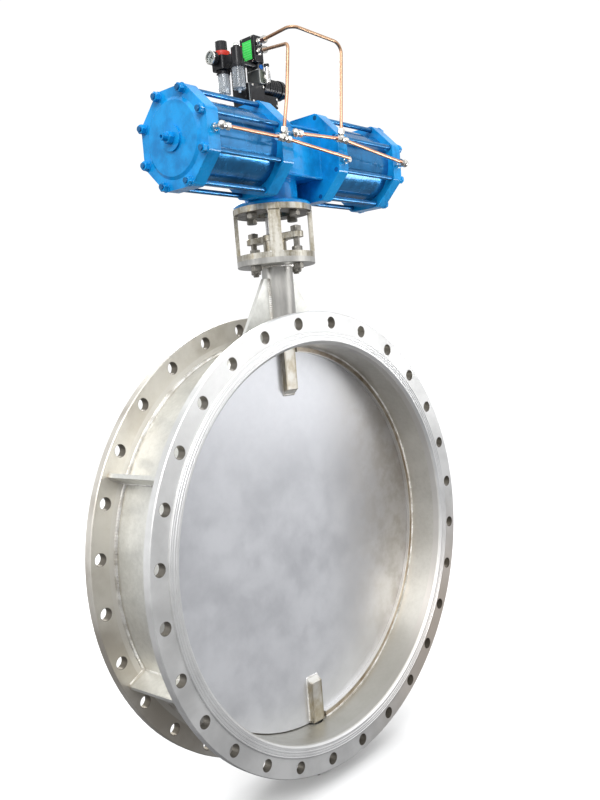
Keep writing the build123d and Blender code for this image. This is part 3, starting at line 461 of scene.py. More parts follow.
def bore_tone(look, color, radius, x, z):
    """Colour of the pipe bore: warmer to one side, with painted shade along the bottom."""
    inside = look.span(radius, 0.5065, 0.510, 1.0, 0.0)
    warm = look.times(inside, look.span(x, -0.15, 0.35, 0.0, 0.35))
    color = look.blend(warm, color, (0.84, 0.81, 0.74))
    # Painted shade: the bore darkens towards its bottom.
    shaded = look.times(inside, look.span(z, -0.45, -0.25, 0.75, 0.0))
    return look.blend(shaded, color, (0.34, 0.33, 0.29))


def stainless(name, dark, light, rough=(0.34, 0.5), grain=(1, 1, 1), seam=0.0):
    """Pickled stainless sheet: soft cloudy tone, fine grain, and straw tint beside the welds."""
    look = Look(name, Metallic=0.82)
    cloud = look.noise(5.0, 6.0, 0.6)
    fine = look.noise(90.0, 5.0, 0.65, look.stretched(grain))
    tone = look.weighed(cloud, 0.65, fine, 0.35)
    color = look.blend(look.span(tone, 0.35, 0.65), dark, light)
    if seam:
        x, y, z = look.axes()
        near = look.math("MINIMUM", look.gap(y, FLANGE_BACK_IN), look.gap(y, FLANGE_BACK_OUT))
        wavy = look.math("ADD", near, look.times(look.noise(18.0, 3.0), 0.012))
        radius = look.radius_from_bore()
        outside = look.span(radius, 0.508, 0.512)
        stain = look.times(look.span(wavy, 0.006, seam, 0.75, 0.0), outside)
        color = look.blend(stain, color, (0.44, 0.39, 0.30))
        color = bore_tone(look, color, radius, x, z)
    look.bump(fine, 0.10, 0.0006)
    look.bump(cloud, 0.12, 0.004)
    return look.finish(color, look.span(look.noise(14.0, 5.0), 0.3, 0.7, *rough))


def bracket_metal():
    """Bracket plate: brown streaks run down the posts, painted shade under the top plate."""
    look = Look("bracket_steel", Metallic=0.9)
    _, _, z = look.axes()
    streak = look.noise(60.0, 4.0, 0.6, look.stretched((1, 1, 0.12)))
    fine = look.noise(130.0, 4.0, 0.6)
    tone = look.weighed(streak, 0.7, fine, 0.3)
    color = look.blend(look.span(tone, 0.38, 0.62), (0.34, 0.30, 0.22), (0.62, 0.60, 0.54))
    # Painted shade: a near-black brown band on the underside of the top plate.
    scale = look.span(look.gap(z, POST_TOP), 0.0008, 0.0025, 0.85, 0.0)
    color = look.blend(scale, color, (0.06, 0.045, 0.03))
    look.bump(fine, 0.15, 0.0006)
    return look.finish(color, look.span(streak, 0.3, 0.7, 0.26, 0.46))


def flange_metal(name, dark, light, lip):
    """Flange: lathe lines on the sealing face, plain plate outside it, painted shade in the drilled
    holes.
    """
    look = Look(name, Metallic=0.78)
    x, _, z = look.axes()
    radius = look.radius_from_bore()
    cloud = look.noise(6.0, 6.0, 0.6)
    fine = look.noise(110.0, 4.0, 0.6)
    lines = look.math("SINE", look.times(radius, 2600.0))
    on_face = look.span(radius, 0.536, 0.538, 1.0, 0.0)
    height = look.times(lines, on_face)
    plate = look.blend(look.span(cloud, 0.35, 0.65), dark, light)
    warm = look.times(look.span(x, 0.0, 0.45), look.span(z, -0.35, 0.10, 0.8, 0.0))
    plate = look.blend(warm, plate, (0.70, 0.60, 0.50))
    color = look.blend(look.times(on_face, 0.6), plate, lip)
    color = bore_tone(look, color, radius, x, z)
    turn = look.math("DIVIDE", look.math("ARCTAN2", z, x), HOLE_PITCH)
    offset = look.math("SUBTRACT", look.math("FRACT", look.math("ADD", turn, 100.0)), 0.5)
    along = look.times(offset, HOLE_PITCH * HOLE_CIRCLE)
    off = look.math("SUBTRACT", radius, HOLE_CIRCLE)
    from_hole = look.length(along, off)
    # Painted shade: the walls of the drilled holes are darkened to near-black brown.
    color = look.blend(look.span(from_hole, 0.0150, 0.0162, 0.85, 0.0), color, (0.13, 0.11, 0.08))
    look.bump(height, 0.35, 0.0004)
    look.bump(fine, 0.10, 0.0006)
    rough = look.span(cloud, 0.3, 0.7, 0.36, 0.5)
    return look.finish(color, rough)


def satin_disc():
    """Disc plate: neutral satin sheet with soft blotches, and a painted brown reflection of the
    bore towards one side.
    """
    look = Look("disc_steel", Metallic=0.75)
    x, _, _ = look.axes()
    cloud = look.noise(6.5, 6.0, 0.55, None, 0.3)
    blotch = look.noise(22.0, 5.0, 0.6)
    fine = look.noise(190.0, 4.0, 0.6)
    tone = look.weighed(cloud, 0.6, blotch, 0.4)
    color = look.blend(look.span(tone, 0.34, 0.66), (0.70, 0.71, 0.74), (0.80, 0.81, 0.84))
    # Painted reflection: the disc turns brown towards one side, standing for the brown bore wall it
    # reflects.
    bore_reflection_side = look.span(x, 0.05, 0.46, 0.0, 0.9)
    brown = look.times(bore_reflection_side, look.span(blotch, 0.35, 0.65, 0.75, 1.0))
    color = look.blend(brown, color, (0.34, 0.305, 0.26))
    look.bump(fine, 0.10, 0.0004)
    look.bump(blotch, 0.08, 0.003)
    return look.finish(color, look.span(tone, 0.3, 0.7, 0.36, 0.5))


def seat_metal():
    """Half seats: heat-tinted flat bar, brighter along the inner edge."""
    look = Look("seat_steel", Metallic=0.9)
    radius = look.radius_from_bore()
    tint = look.noise(16.0, 5.0, 0.6)
    fine = look.noise(120.0, 4.0, 0.6)
    face = look.blend(look.span(tint, 0.35, 0.65), (0.30, 0.23, 0.16), (0.52, 0.46, 0.38))
    color = look.blend(look.span(radius, 0.4900, 0.4935, 1.0, 0.0), face, (0.80, 0.79, 0.77))
    look.bump(fine, 0.2, 0.0006)
    return look.finish(color, look.span(tint, 0.3, 0.7, 0.3, 0.5))


def hub_metal():
    """Disc hubs: rough overlay weld, straw to brown at the edges, bright at the inner end."""
    look = Look("hub_steel", Metallic=0.88)
    x, _, z = look.axes()
    lump = look.noise(90.0, 4.0, 0.6, look.stretched((1, 1, 0.35)))
    tint = look.noise(24.0, 4.0, 0.6)
    color = look.blend(look.span(tint, 0.34, 0.66), (0.50, 0.44, 0.33), (0.74, 0.72, 0.67))
    edge = look.span(look.math("ABSOLUTE", x), 0.013, 0.020, 0.0, 0.65)
    edge = look.times(edge, look.span(lump, 0.3, 0.6, 0.5, 1.0))
    color = look.blend(edge, color, (0.24, 0.19, 0.11))
    end = look.gap(look.math("ABSOLUTE", z), HUB_INNER + 2 * MM)
    color = look.blend(look.span(end, 0.003, 0.012, 0.8, 0.0), color, (0.86, 0.85, 0.82))
    look.bump(lump, 0.5, 0.0014)
    return look.finish(color, look.span(lump, 0.3, 0.7, 0.28, 0.5))


def weld_metal():
    """Bare weld bead, brighter on its ripples and browner beside them."""
    look = Look("weld_steel", Metallic=0.9)
    spots = look.noise(160.0, 4.0, 0.6)
    wide = look.noise(30.0, 3.0)
    color = look.blend(look.span(wide, 0.35, 0.65), (0.58, 0.55, 0.50), (0.88, 0.87, 0.85))
    look.bump(spots, 0.35, 0.0008)
    return look.finish(color, look.span(spots, 0.3, 0.7, 0.26, 0.5))


def enamel(name, deep, bright, metallic=0.0):
    """Glossy brushed-on enamel: slight sags, dust and thinner colour in places."""
    look = Look(
        name, Metallic=metallic, Specular_IOR_Level=0.12, Coat_Weight=0.45, Coat_Roughness=0.05,
    )
    wide = look.noise(14.0, 6.0, 0.65)
    sag = look.noise(42.0, 3.0, 0.5, look.stretched((1.0, 1.0, 0.5)))
    dust = look.noise(420.0, 2.0, 0.5)
    color = look.blend(look.span(wide, 0.34, 0.62), deep, bright)
    look.bump(sag, 0.3, 0.0026)
    look.bump(wide, 0.18, 0.006)
    look.bump(dust, 0.05, 0.0003)
    return look.finish(color, look.span(sag, 0.3, 0.7, 0.16, 0.30))


def metal(name, dark, light, rough, scale, grain=(1, 1, 1), bump=0.12):
    """Turned, plated or drawn metal with a grain along the given direction."""
    look = Look(name, Metallic=1.0)
    grainy = look.noise(scale, 5.0, 0.6, look.stretched(grain))
    wide = look.noise(scale * 0.2, 4.0)
    tone = look.weighed(grainy, 0.5, wide, 0.5)
    color = look.blend(look.span(tone, 0.36, 0.64), dark, light)
    look.bump(grainy, bump, 0.0005)
    return look.finish(color, look.span(grainy, 0.3, 0.7, *rough))


def copper():
    """Drawn copper tube, redder low down and browner where it was handled."""
    look = Look("copper_tube", Metallic=1.0)
    _, _, z = look.axes()
    handled = look.noise(22.0, 5.0, 0.6)
    scratches = look.noise(240.0, 3.0, 0.5)
    fresh = look.blend(look.span(handled, 0.3, 0.7), (0.60, 0.28, 0.18), (0.78, 0.44, 0.30))
    dull = look.blend(look.span(handled, 0.3, 0.7), (0.44, 0.26, 0.16), (0.60, 0.40, 0.26))
    color = look.blend(look.span(z, 1.02, 1.20), fresh, dull)
    look.bump(scratches, 0.04, 0.0003)
    return look.finish(color, look.span(handled, 0.3, 0.7, 0.30, 0.44))


def plastic(name, dark, light, rough=(0.35, 0.5), scale=400.0, bump=0.25):
    """Moulded plastic or powder-coated casting with a fine leather grain."""
    look = Look(name, Specular_IOR_Level=0.3)
    grain = look.noise(scale, 3.0, 0.6)
    wide = look.noise(25.0, 4.0)
    color = look.blend(look.span(wide, 0.3, 0.7), dark, light)
    look.bump(grain, bump, 0.0004)
    return look.finish(color, look.span(wide, 0.3, 0.7, *rough))


def clear(name, tint, pale, rough, alpha, through):
    """Moulded clear polycarbonate with faint flow marks."""
    look = Look(name, IOR=1.5, Alpha=alpha, Transmission_Weight=through)
    flow = look.noise(60.0, 3.0, 0.5, look.stretched((1.0, 1.0, 0.3)))
    color = look.blend(look.span(flow, 0.3, 0.7), tint, pale)
    look.bump(flow, 0.10, 0.0006)
    return look.finish(color, look.span(flow, 0.3, 0.7, rough * 0.6, rough))


def label_green():
    """Bright green plate with plain bars in place of words, clear of its sides."""
    look = Look("green_plate", Roughness=0.35)
    _, y, z = look.axes()
    bars = look.math("SINE", look.times(z, 1100.0))
    inside = look.span(look.gap(y, 0.099), 0.012, 0.0125, 1.0, 0.0)
    print_mark = look.times(look.span(bars, 0.75, 0.9), inside)
    speckle = look.noise(300.0, 3.0)
    green = look.blend(look.span(speckle, 0.3, 0.7), (0.02, 0.62, 0.07), (0.05, 0.80, 0.12))
    color = look.blend(look.times(print_mark, 0.35), green, (0.55, 0.95, 0.55))
    look.bump(speckle, 0.05, 0.0003)
    return look.finish(color)


BODY_STEEL = stainless("body_steel", (0.66, 0.66, 0.62), (0.84, 0.84, 0.80), seam=0.022)
FLANGE_STEEL = flange_metal(
    "inlet_flange_steel", (0.68, 0.68, 0.67), (0.82, 0.82, 0.81), (0.84, 0.84, 0.84),
)
OUTLET_STEEL = flange_metal(
    "outlet_flange_steel", (0.52, 0.48, 0.42), (0.72, 0.69, 0.63), (0.74, 0.72, 0.68),
)
DISC_STEEL = satin_disc()
SEAT_STEEL = seat_metal()
HUB_STEEL = hub_metal()
BRACKET_STEEL = bracket_metal()
NECK_STEEL = stainless(
    "neck_steel", (0.34, 0.33, 0.31), (0.54, 0.53, 0.50), (0.28, 0.44), (1, 1, 0.12),
)
WELD_STEEL = weld_metal()
BLUE = enamel("blue_enamel", (0.003, 0.200, 0.520), (0.007, 0.335, 0.780))
BLUE_TUBE = enamel("blue_tube_enamel", (0.010, 0.115, 0.280), (0.020, 0.190, 0.440), 0.5)
COPPER = copper()
PLATED = metal("plated_brass", (0.58, 0.56, 0.52), (0.86, 0.85, 0.82), (0.16, 0.34), 90.0)
ZINC = metal("zinc_fastener", (0.20, 0.19, 0.17), (0.40, 0.38, 0.34), (0.34, 0.55), 140.0, bump=0.3)
TURNED = metal(
    "turned_steel", (0.50, 0.50, 0.50), (0.70, 0.70, 0.70), (0.22, 0.36), 50.0, (1, 1, 14),
)
ROD_STEEL = metal(
    "ground_rod", (0.52, 0.52, 0.53), (0.74, 0.74, 0.75), (0.14, 0.26), 50.0, (14, 1, 1),
)
BRONZE = metal("bearing_bronze", (0.42, 0.27, 0.10), (0.66, 0.46, 0.20), (0.26, 0.42), 70.0)
GRAPHITE = plastic(
    "braided_graphite", (0.02, 0.02, 0.02), (0.06, 0.06, 0.06), (0.45, 0.6), 700.0, 0.6,
)
RUBBER = plastic("seal_rubber", (0.012, 0.012, 0.012), (0.03, 0.03, 0.03), (0.5, 0.65), 500.0, 0.3)
BLACK_CAST = plastic(
    "black_casting", (0.006, 0.006, 0.007), (0.024, 0.025, 0.027), (0.24, 0.4), 480.0, 0.3,
)
BLACK_GLOSS = plastic(
    "black_moulding", (0.008, 0.008, 0.009), (0.022, 0.022, 0.024), (0.18, 0.3), 600.0, 0.12,
)
GREY_BLOCK = plastic(
    "grey_block", (0.045, 0.050, 0.050), (0.085, 0.090, 0.088), (0.3, 0.42), 520.0, 0.25,
)
CLEAR = clear("clear_bowl", (0.36, 0.39, 0.41), (0.70, 0.73, 0.76), 0.12, 0.74, 0.6)
LENS = clear("gauge_lens", (0.88, 0.93, 0.93), (0.94, 0.96, 0.96), 0.06, 0.18, 0.9)
GREEN = label_green()
RED = plastic("red_ring", (0.50, 0.025, 0.015), (0.68, 0.05, 0.03), (0.28, 0.4))
ORANGE = plastic("orange_plug", (0.55, 0.13, 0.05), (0.72, 0.22, 0.10), (0.34, 0.5))
BUTTON_BLUE = plastic("button_blue", (0.01, 0.10, 0.42), (0.02, 0.16, 0.55), (0.25, 0.36))
# Painted reflection: the dial is dark grey-green, standing for the dark room seen in the gauge
# glass.
REFLECTION_DIAL = plastic("dial_painted_reflection", (0.11, 0.14, 0.13), (0.24, 0.27, 0.25), (0.3, 0.4), 300.0, 0.05)
WHITE = plastic("pale_print", (0.74, 0.75, 0.72), (0.84, 0.84, 0.82), (0.4, 0.5), 300.0, 0.05)
INK = plastic("dial_ink", (0.01, 0.01, 0.01), (0.03, 0.03, 0.03), (0.4, 0.5))
GASKET = plastic("pale_gasket", (0.62, 0.62, 0.58), (0.74, 0.74, 0.70), (0.45, 0.6))
PLATE_GREEN = plastic(
    "end_plate_grey", (0.11, 0.13, 0.10), (0.19, 0.21, 0.17), (0.3, 0.42), 520.0, 0.15,
)
FELT = plastic("filter_element", (0.70, 0.69, 0.64), (0.82, 0.81, 0.76), (0.6, 0.75), 900.0, 0.6)


# ======================= CAD nodes: materials and soft edges =======================

NODE_LOOKS = {
    FLANGE_STEEL: ("inlet_flange",),
    OUTLET_STEEL: ("outlet_flange",),
    BODY_STEEL: ("body_shell", "body_ribs", "bearing_pot", "pot_cover", "neck_gussets"),
    SEAT_STEEL: ("half_seats",),
    NECK_STEEL: ("neck_tube", "neck_flange"),
    BRACKET_STEEL: ("actuator_bracket", "gland_follower"),
    DISC_STEEL: ("disc_plate",),
    HUB_STEEL: ("disc_hubs",),
    TURNED: ("valve_stem", "stub_shaft", "drive_key", "cam_shaft", "drive_pinion"),
    ROD_STEEL: ("rack_rod", "pistons"),
    BRONZE: ("stem_bearings", "sleeve_bushes", "rod_guides"),
    GRAPHITE: ("packing_rings",),
    RUBBER: ("piston_seals",),
    ZINC: (
        "pot_screws", "piston_nuts", "gland_studs", "gland_nuts", "neck_bolts", "bracket_bolts",
    ),
    BLUE: (
        "actuator_base", "gear_housing", "inner_plates", "end_cap_left", "end_cap_right",
        "tie_nuts", "stop_locknuts", "stop_screws",
    ),
    BLUE_TUBE: ("cylinder_tubes", "tie_rods"),
    BLACK_CAST: ("switch_bracket", "switch_box", "switch_drum", "frl_bracket", "regulator_knob"),
    BLACK_GLOSS: ("solenoid_housing", "filter_body", "lubricator_body", "pressure_gauge"),
    GREY_BLOCK: ("valve_block",),
    PLATED: ("valve_spool", "silencer", "pipe_fittings"),
    COPPER: ("air_line_a", "air_line_b"),
    CLEAR: ("clear_bowls",),
    BUTTON_BLUE: ("override_button",),
    INK: ("gauge_needle",),
}

EDGE_WIDTHS = {
    2.2 * MM: ("inner_plates", "end_cap_left", "end_cap_right", "gear_housing", "actuator_base"),
    1.2 * MM: ("neck_flange",),
    1.0 * MM: (
        "actuator_bracket", "body_ribs", "neck_gussets", "gland_follower", "switch_box",
        "valve_block",
    ),
    0.7 * MM: (
        "switch_bracket", "frl_bracket", "filter_body", "lubricator_body", "switch_drum",
        "silencer",
    ),
    0.5 * MM: ("pipe_fittings", "pressure_gauge", "half_seats", "disc_hubs"),
}


def dress_nodes():
    """Gives each CAD node its material."""
    for material, names in NODE_LOOKS.items():
        for name in names:
            mesh = nodes[name].data
            mesh.materials.clear()
            mesh.materials.append(material)


def soften_edges():
    """Small bevels on cast, cut and moulded nodes, widest on the large ones."""
    for width, names in EDGE_WIDTHS.items():
        for name in names:
            soft(nodes[name], width)


dress_nodes()
soften_edges()


# ======================= welds =======================

def saddle(radius, sign):
    """Where an upright tube meets the shell, above or below it."""
    points = []
    for p in arc((0, STEM.y, 0), X, Y, radius, step=4):
        points.append(Vector((p.x, p.y, sign * math.sqrt(SHELL_R ** 2 - p.x ** 2))))
    return points


def shell_welds():
    """Runs between the shell and the backs of both flanges."""
    parts = []
    for y, seed in ((FLANGE_BACK_IN, 1), (FLANGE_BACK_OUT, 2)):
        path = arc((0, y, 0), X, Z, SHELL_R + 0.5 * MM, step=1)
        parts.append(bead(path, 5.6 * MM, True, seed, 0.09))
    piece("shell_welds", *merge(parts), WELD_STEEL)


def rib_welds():
    """Runs along both feet of each rib, and up its ends."""
    parts = []
    for seed, angle in enumerate(RIB_ANGLES):
        turn = math.radians(angle)
        outward = Vector((math.cos(turn), 0, math.sin(turn)))
        across = Vector((-math.sin(turn), 0, math.cos(turn)))
        for side in (-1, 1):
            edge = outward * SHELL_R + across * side * PLATE_HALF
            start = edge + Y * FLANGE_BACK_IN
            end = edge + Y * FLANGE_BACK_OUT
            parts.append(bead([start, end], 2.6 * MM, seed=seed))
            for at in (start, end):
                tip = at + outward * (RIB_OUTER - SHELL_R)
                parts.append(bead([at, tip], 2.6 * MM, seed=seed + side))
    piece("rib_welds", *merge(parts), WELD_STEEL)


def neck_welds():
    """Runs round the neck tube and the bearing pot, and along both gussets."""
    parts = [
        bead(saddle(NECK_R + 1 * MM, 1), 3.4 * MM, True, 3),
        bead(saddle(POT_R + 1 * MM, -1), 3.4 * MM, True, 4),
        bead(arc((0, STEM.y, NECK_TOP - 0.5 * MM), X, Y, NECK_R + 1 * MM), 3.2 * MM, True, 5),
    ]
    for side in (-1, 1):
        for face in (-1, 1):
            y = STEM.y + face * (PLATE_HALF + 0.5 * MM)
            edge_x = side * math.sqrt(NECK_R ** 2 - PLATE_HALF ** 2)
            top = Vector((edge_x, y, GUSSET_TOP))
            foot = Vector((edge_x, y, math.sqrt(SHELL_R ** 2 - edge_x ** 2)))
            parts.append(bead([top, foot], 3.6 * MM, seed=side + face))
            along_shell = []
            for i in range(15):
                x = side * (NECK_R + (GUSSET_REACH - NECK_R) * i / 14)
                along_shell.append(Vector((x, y, math.sqrt(SHELL_R ** 2 - x ** 2))))
            parts.append(bead(along_shell, 3.4 * MM, seed=7 + side + face))
    piece("neck_welds", *merge(parts), WELD_STEEL)


def bracket_welds():
    """Runs round both ends of each bracket post."""
    parts = []
    for k in range(4):
        turn = math.radians(45 + 90 * k)
        outward = Vector((math.cos(turn), math.sin(turn), 0))
        across = Vector((-math.sin(turn), math.cos(turn), 0))
        centre = Vector((0, STEM.y, 0)) + outward * (BRACKET_R - POST_HALF_THICK)
        for z in (POST_LOW, POST_TOP):
            corners = []
            for a, b in ((1, 1), (1, -1), (-1, -1), (-1, 1)):
                wide = across * b * POST_HALF_WIDE
                corners.append(centre + outward * a * POST_HALF_THICK + wide + Z * z)
            parts.append(bead(corners[1:] + corners[:1], 1.9 * MM, seed=k))
    piece("bracket_welds", *merge(parts), WELD_STEEL)


def hub_welds():
    """Runs round three sides of each hub, on both faces of the disc."""
    parts = []
    for sign in (-1, 1):
        for face, y in ((-1, low("disc_plate").y), (1, high("disc_plate").y)):
            inner = sign * HUB_INNER
            outer = sign * HUB_OUTER
            run = [
                Vector((-HUB_HALF, y, outer)),
                Vector((-HUB_HALF, y, inner)),
                Vector((HUB_HALF, y, inner)),
                Vector((HUB_HALF, y, outer)),
            ]
            parts.append(bead(run, 2.6 * MM, seed=face + sign))
    piece("hub_welds", *merge(parts), WELD_STEEL, "disc")


def seat_welds():
    """Runs at the root of each half seat, on the side away from the disc."""
    parts = []
    root = BORE_R - 0.5 * MM
    front = low("half_seats").y
    back = high("half_seats").y
    for y, mid, seed in ((front, 0, 11), (back, 180, 12)):
        path = arc((0, y, 0), X, Z, root, mid - SEAT_HALF, mid + SEAT_HALF, 1)
        parts.append(bead(path, 3.0 * MM, seed=seed))
    piece("seat_welds", *merge(parts), WELD_STEEL)


def housing_welds():
    """Painted weld seams of the gear housing and its turret."""
    lo = low("gear_housing")
    hi = high("gear_housing")
    under_lid = hi.z - 9 * MM
    parts = []
    for y in (lo.y, hi.y):
        for z in (lo.z + 1 * MM, under_lid):
            run = [Vector((lo.x, y, z)), Vector((hi.x, y, z))]
            parts.append(bead(run, 3.0 * MM, seed=int(y * 100)))
    for x in (lo.x + 1 * MM, hi.x - 1 * MM):
        for y in (lo.y, hi.y):
            run = [Vector((x, y, lo.z)), Vector((x, y, under_lid))]
            parts.append(bead(run, 3.0 * MM, seed=int(x * 90)))
    base = high("actuator_base").z - TURRET_TALL
    parts.append(bead(arc((0, STEM.y, base), X, Y, TURRET_R), 2.6 * MM, True, 8))
    piece("housing_welds", *merge(parts), BLUE)


shell_welds()
rib_welds()
neck_welds()
bracket_welds()
hub_welds()
seat_welds()
housing_welds()


# ======================= fasteners =======================

def tie_nuts():
    """Nuts, washers and painted rod ends on both end caps."""
    parts = []
    for side in (-1, 1):
        for k in range(8):
            turn = math.radians(22.5 + 45 * k)
            centre = Vector((
                side * CAP_FACE,
                AXIS_Y + TIE_CIRCLE * math.cos(turn),
                AXIS_Z + TIE_CIRCLE * math.sin(turn),
            ))
            along = X * side
            parts.append(turned(centre, along, rounded(0, 2 * MM, 12 * MM, 0.5 * MM), 32))
            parts.append(hexagon_nut(centre + along * 2 * MM, along, 11 * MM, 19 * MM, k * 0.7))
            parts.append(thread(centre + along * 12.5 * MM, along, 4.3 * MM, 5.8 * MM, 1.4 * MM))
    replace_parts(piece("tie_rod_nuts", *merge(parts), BLUE), "tie_nuts")


def stop_nuts():
    """Locknuts of the stop screws on the end cap bosses."""
    parts = []
    for side in (-1, 1):
        centre = Vector((side * BOSS_FACE, AXIS_Y, AXIS_Z))
        parts.append(hexagon_nut(centre, X * side, 13 * MM, 24 * MM))
    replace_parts(piece("stop_screw_locknuts", *merge(parts), BLUE), "stop_locknuts")


def fixing_points(angles, z):
    """Places on the bolt circle of the neck flange and bracket, at one height."""
    for angle in angles:
        turn = math.radians(angle)
        yield Vector((FIXING_CIRCLE * math.cos(turn), STEM.y + FIXING_CIRCLE * math.sin(turn), z))


def gland_fasteners():
    """Studs that pass through the gland follower, each with three nuts."""
    studs = []
    nuts = []
    top = high("gland_follower").z
    for at in fixing_points((90, 270), 0):
        foot = 692 * MM
        shank = [(foot, 0), (foot, 7 * MM), (693.5 * MM, 7.8 * MM), (top, 7.8 * MM), (top, 0)]
        studs.append(turned(at, Z, shank, 24))
        tip = high("gland_studs").z - top - 12 * MM
        studs.append(thread(at + Z * (top + 12 * MM), Z, tip, 7.9 * MM, 1.5 * MM))
        nuts.append(hexagon_nut(at + Z * top, Z, 13 * MM, 26 * MM, 0.3))
        nuts.append(hexagon_nut(at + Z * POST_LOW, Z, 13 * MM, 24 * MM, 0.8))
        nuts.append(hexagon_nut(at + Z * (NECK_TOP - 13 * MM), Z, 13 * MM, 24 * MM, 0.1))
    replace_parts(piece("gland_stud_bars", *merge(studs), ZINC), "gland_studs")
    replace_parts(piece("gland_stud_nuts", *merge(nuts), ZINC), "gland_nuts")


def bracket_fasteners():
    """Bolts through the neck flange, and bolts with washers under the top plate."""
    low_parts = []
    for at in fixing_points((0, 180), NECK_TOP):
        low_parts.append(hexagon_nut(at - Z * 13 * MM, Z, 13 * MM, 24 * MM, 0.5))
        low_parts.append(thread(at - Z * 12 * MM, -Z, 5.5 * MM, 7.8 * MM, 1.5 * MM))
        low_parts.append(hexagon_nut(at + Z * 29 * MM, Z, 10 * MM, 24 * MM, 0.2))
    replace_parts(piece("neck_flange_bolts", *merge(low_parts), ZINC), "neck_bolts")
    high_parts = []
    for at in fixing_points((0, 90, 180, 270), POST_TOP):
        high_parts.append(turned(at - Z * 2 * MM, Z, rounded(0, 2 * MM, 13.5 * MM, 0.4 * MM), 32))
        high_parts.append(hexagon_nut(at - Z * 13 * MM, Z, 11 * MM, 24 * MM, at.x * 9))
    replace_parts(piece("bracket_head_bolts", *merge(high_parts), ZINC), "bracket_bolts")


tie_nuts()
stop_nuts()
gland_fasteners()
bracket_fasteners()


# ======================= air panel =======================

FILTER = middle("regulator_knob")
GAUGE = middle("pressure_gauge")
OILER_Y = 86 * MM
COIL = (low("solenoid_housing") / MM, high("solenoid_housing") / MM)
BLOCK = (low("valve_block") / MM, high("valve_block") / MM)
BLOCK_SEAM = 1184
SWITCH = (low("switch_box") / MM, high("switch_box") / MM)
SWITCH_SHELF = 1127
SWITCH_STEP = -28
BOWL_TOP = 1181 * MM
BOWL_LOW = low("clear_bowls").z
BOWL_R = (high("clear_bowls").x - low("clear_bowls").x) / 2
GAUGE_R = (high("pressure_gauge").z - low("pressure_gauge").z) / 2
GAUGE_Z = 1206 * MM


def green_label():
    """Printed plate with a dark rim on the solenoid, held by four small screws."""
    x = COIL[0].x
    y = (COIL[0].y + 5, COIL[0].y + 45)
    z = (COIL[0].z + 6, COIL[1].z - 8)
    soft(piece("label_rim", *slab((x - 0.6, x + 0.2), y, z), BLACK_GLOSS), 0.25 * MM)
    plate = slab((x - 1.0, x - 0.4), (y[0] + 5, y[1] - 5), (z[0] + 2.5, z[1] - 2.5))
    soft(piece("label_plate", *plate, GREEN), 0.2 * MM)
    heads = []
    for at_y in (y[0] + 4, y[1] - 4):
        for at_z in (COIL[0].z + 3, COIL[1].z - 4):
            head = rounded(-0.2 * MM, 1.2 * MM, 1.8 * MM, 0.4 * MM)
            heads.append(turned(Vector((x, at_y, at_z)) * MM, -X, head, 20))
    piece("solenoid_screws", *merge(heads), PLATED)


def silencer_point(z):
    """A point on the silencer's axis, at a height in millimetres."""
    return (-31 * MM, 70 * MM, z * MM)


def valve_block_trim():
    """Pale gasket lines and the plain end plate of the valve block, and the silencer's rings."""
    x = (BLOCK[0].x, BLOCK[1].x)
    y = BLOCK[0].y
    proud = (y - 0.35, y + 0.3)
    seam = (BLOCK_SEAM - 0.7, BLOCK_SEAM + 0.7)
    lines = [
        slab((x[0] - 0.35, x[0] + 0.3), (y + 2, BLOCK[1].y - 2), seam),
        slab((x[0] + 1, x[1] - 2), proud, seam),
        slab((x[0] + 1.6, x[0] + 2.8), proud, (1151, BLOCK_SEAM)),
        slab((x[0] + 1.6, x[1] - 4.5), proud, (1150.8, 1152)),
    ]
    piece("block_gasket", *merge(lines), GASKET)
    plate = slab((x[0] + 3, x[1] - 6), (y - 0.9, y + 0.3), (1153, BLOCK_SEAM - 2))
    soft(piece("block_end_plate", *plate, PLATE_GREEN), 0.3 * MM)
    cap = turned(silencer_point(1189.8), Z, rounded(0, 6.4 * MM, 6.8 * MM, 1 * MM), 32)
    piece("silencer_cap", *cap, BLACK_GLOSS)
    section = band(0, 1.8 * MM, 7 * MM, 8 * MM, 0.4 * MM)
    rings = [sleeve(silencer_point(1155 + 3.6 * k), Z, section, 32) for k in range(6)]
    piece("silencer_rings", *merge(rings), PLATED)


def switch_trim():
    """Cover gasket, cover screws, the rings on the cable gland and the ribs of the drum."""
    x = (SWITCH[0].x, SWITCH[1].x)
    y = SWITCH[0].y + 5
    z = (SWITCH[0].z, SWITCH[1].z)
    wide = (y, y + 1.2)
    out = 0.4
    lines = [
        slab((x[0] - out, x[0] + 0.2), wide, z),
        slab((x[1] - 0.2, x[1] + out), wide, (z[0], SWITCH_SHELF)),
        slab((x[0], SWITCH_STEP), wide, (z[1] - 0.2, z[1] + out)),
    ]
    piece("switch_gasket", *merge(lines), GASKET)
    heads = []
    for at_x, at_z in ((-72, 1106), (-72, 1144), (12, 1106), (12, 1121), (-34, 1144)):
        at = Vector((at_x, SWITCH[0].y, at_z)) * MM
        head = rounded(-0.3 * MM, 1.8 * MM, 3 * MM, 0.6 * MM)
        heads.append(turned(at, -Y, head, 24))
    piece("switch_cover_screws", *merge(heads), PLATED)
    drum = Vector((0, 104, 1152)) * MM
    nose = [
        sleeve(drum, X, band(53 * MM, 57.5 * MM, 15 * MM, 17.4 * MM, 0.6 * MM)),
        sleeve(drum, X, band(60 * MM, 64.5 * MM, 15 * MM, 17.4 * MM, 0.6 * MM)),
    ]
    piece("gland_rings", *merge(nose), ORANGE)
    ribs = []
    for k in range(5):
        section = band((-8 + 8.6 * k) * MM, (-5 + 8.6 * k) * MM, 20 * MM, 22.6 * MM, 0.5 * MM)
        ribs.append(sleeve(drum, X, section))
    piece("drum_ribs", *merge(ribs), BLACK_CAST)


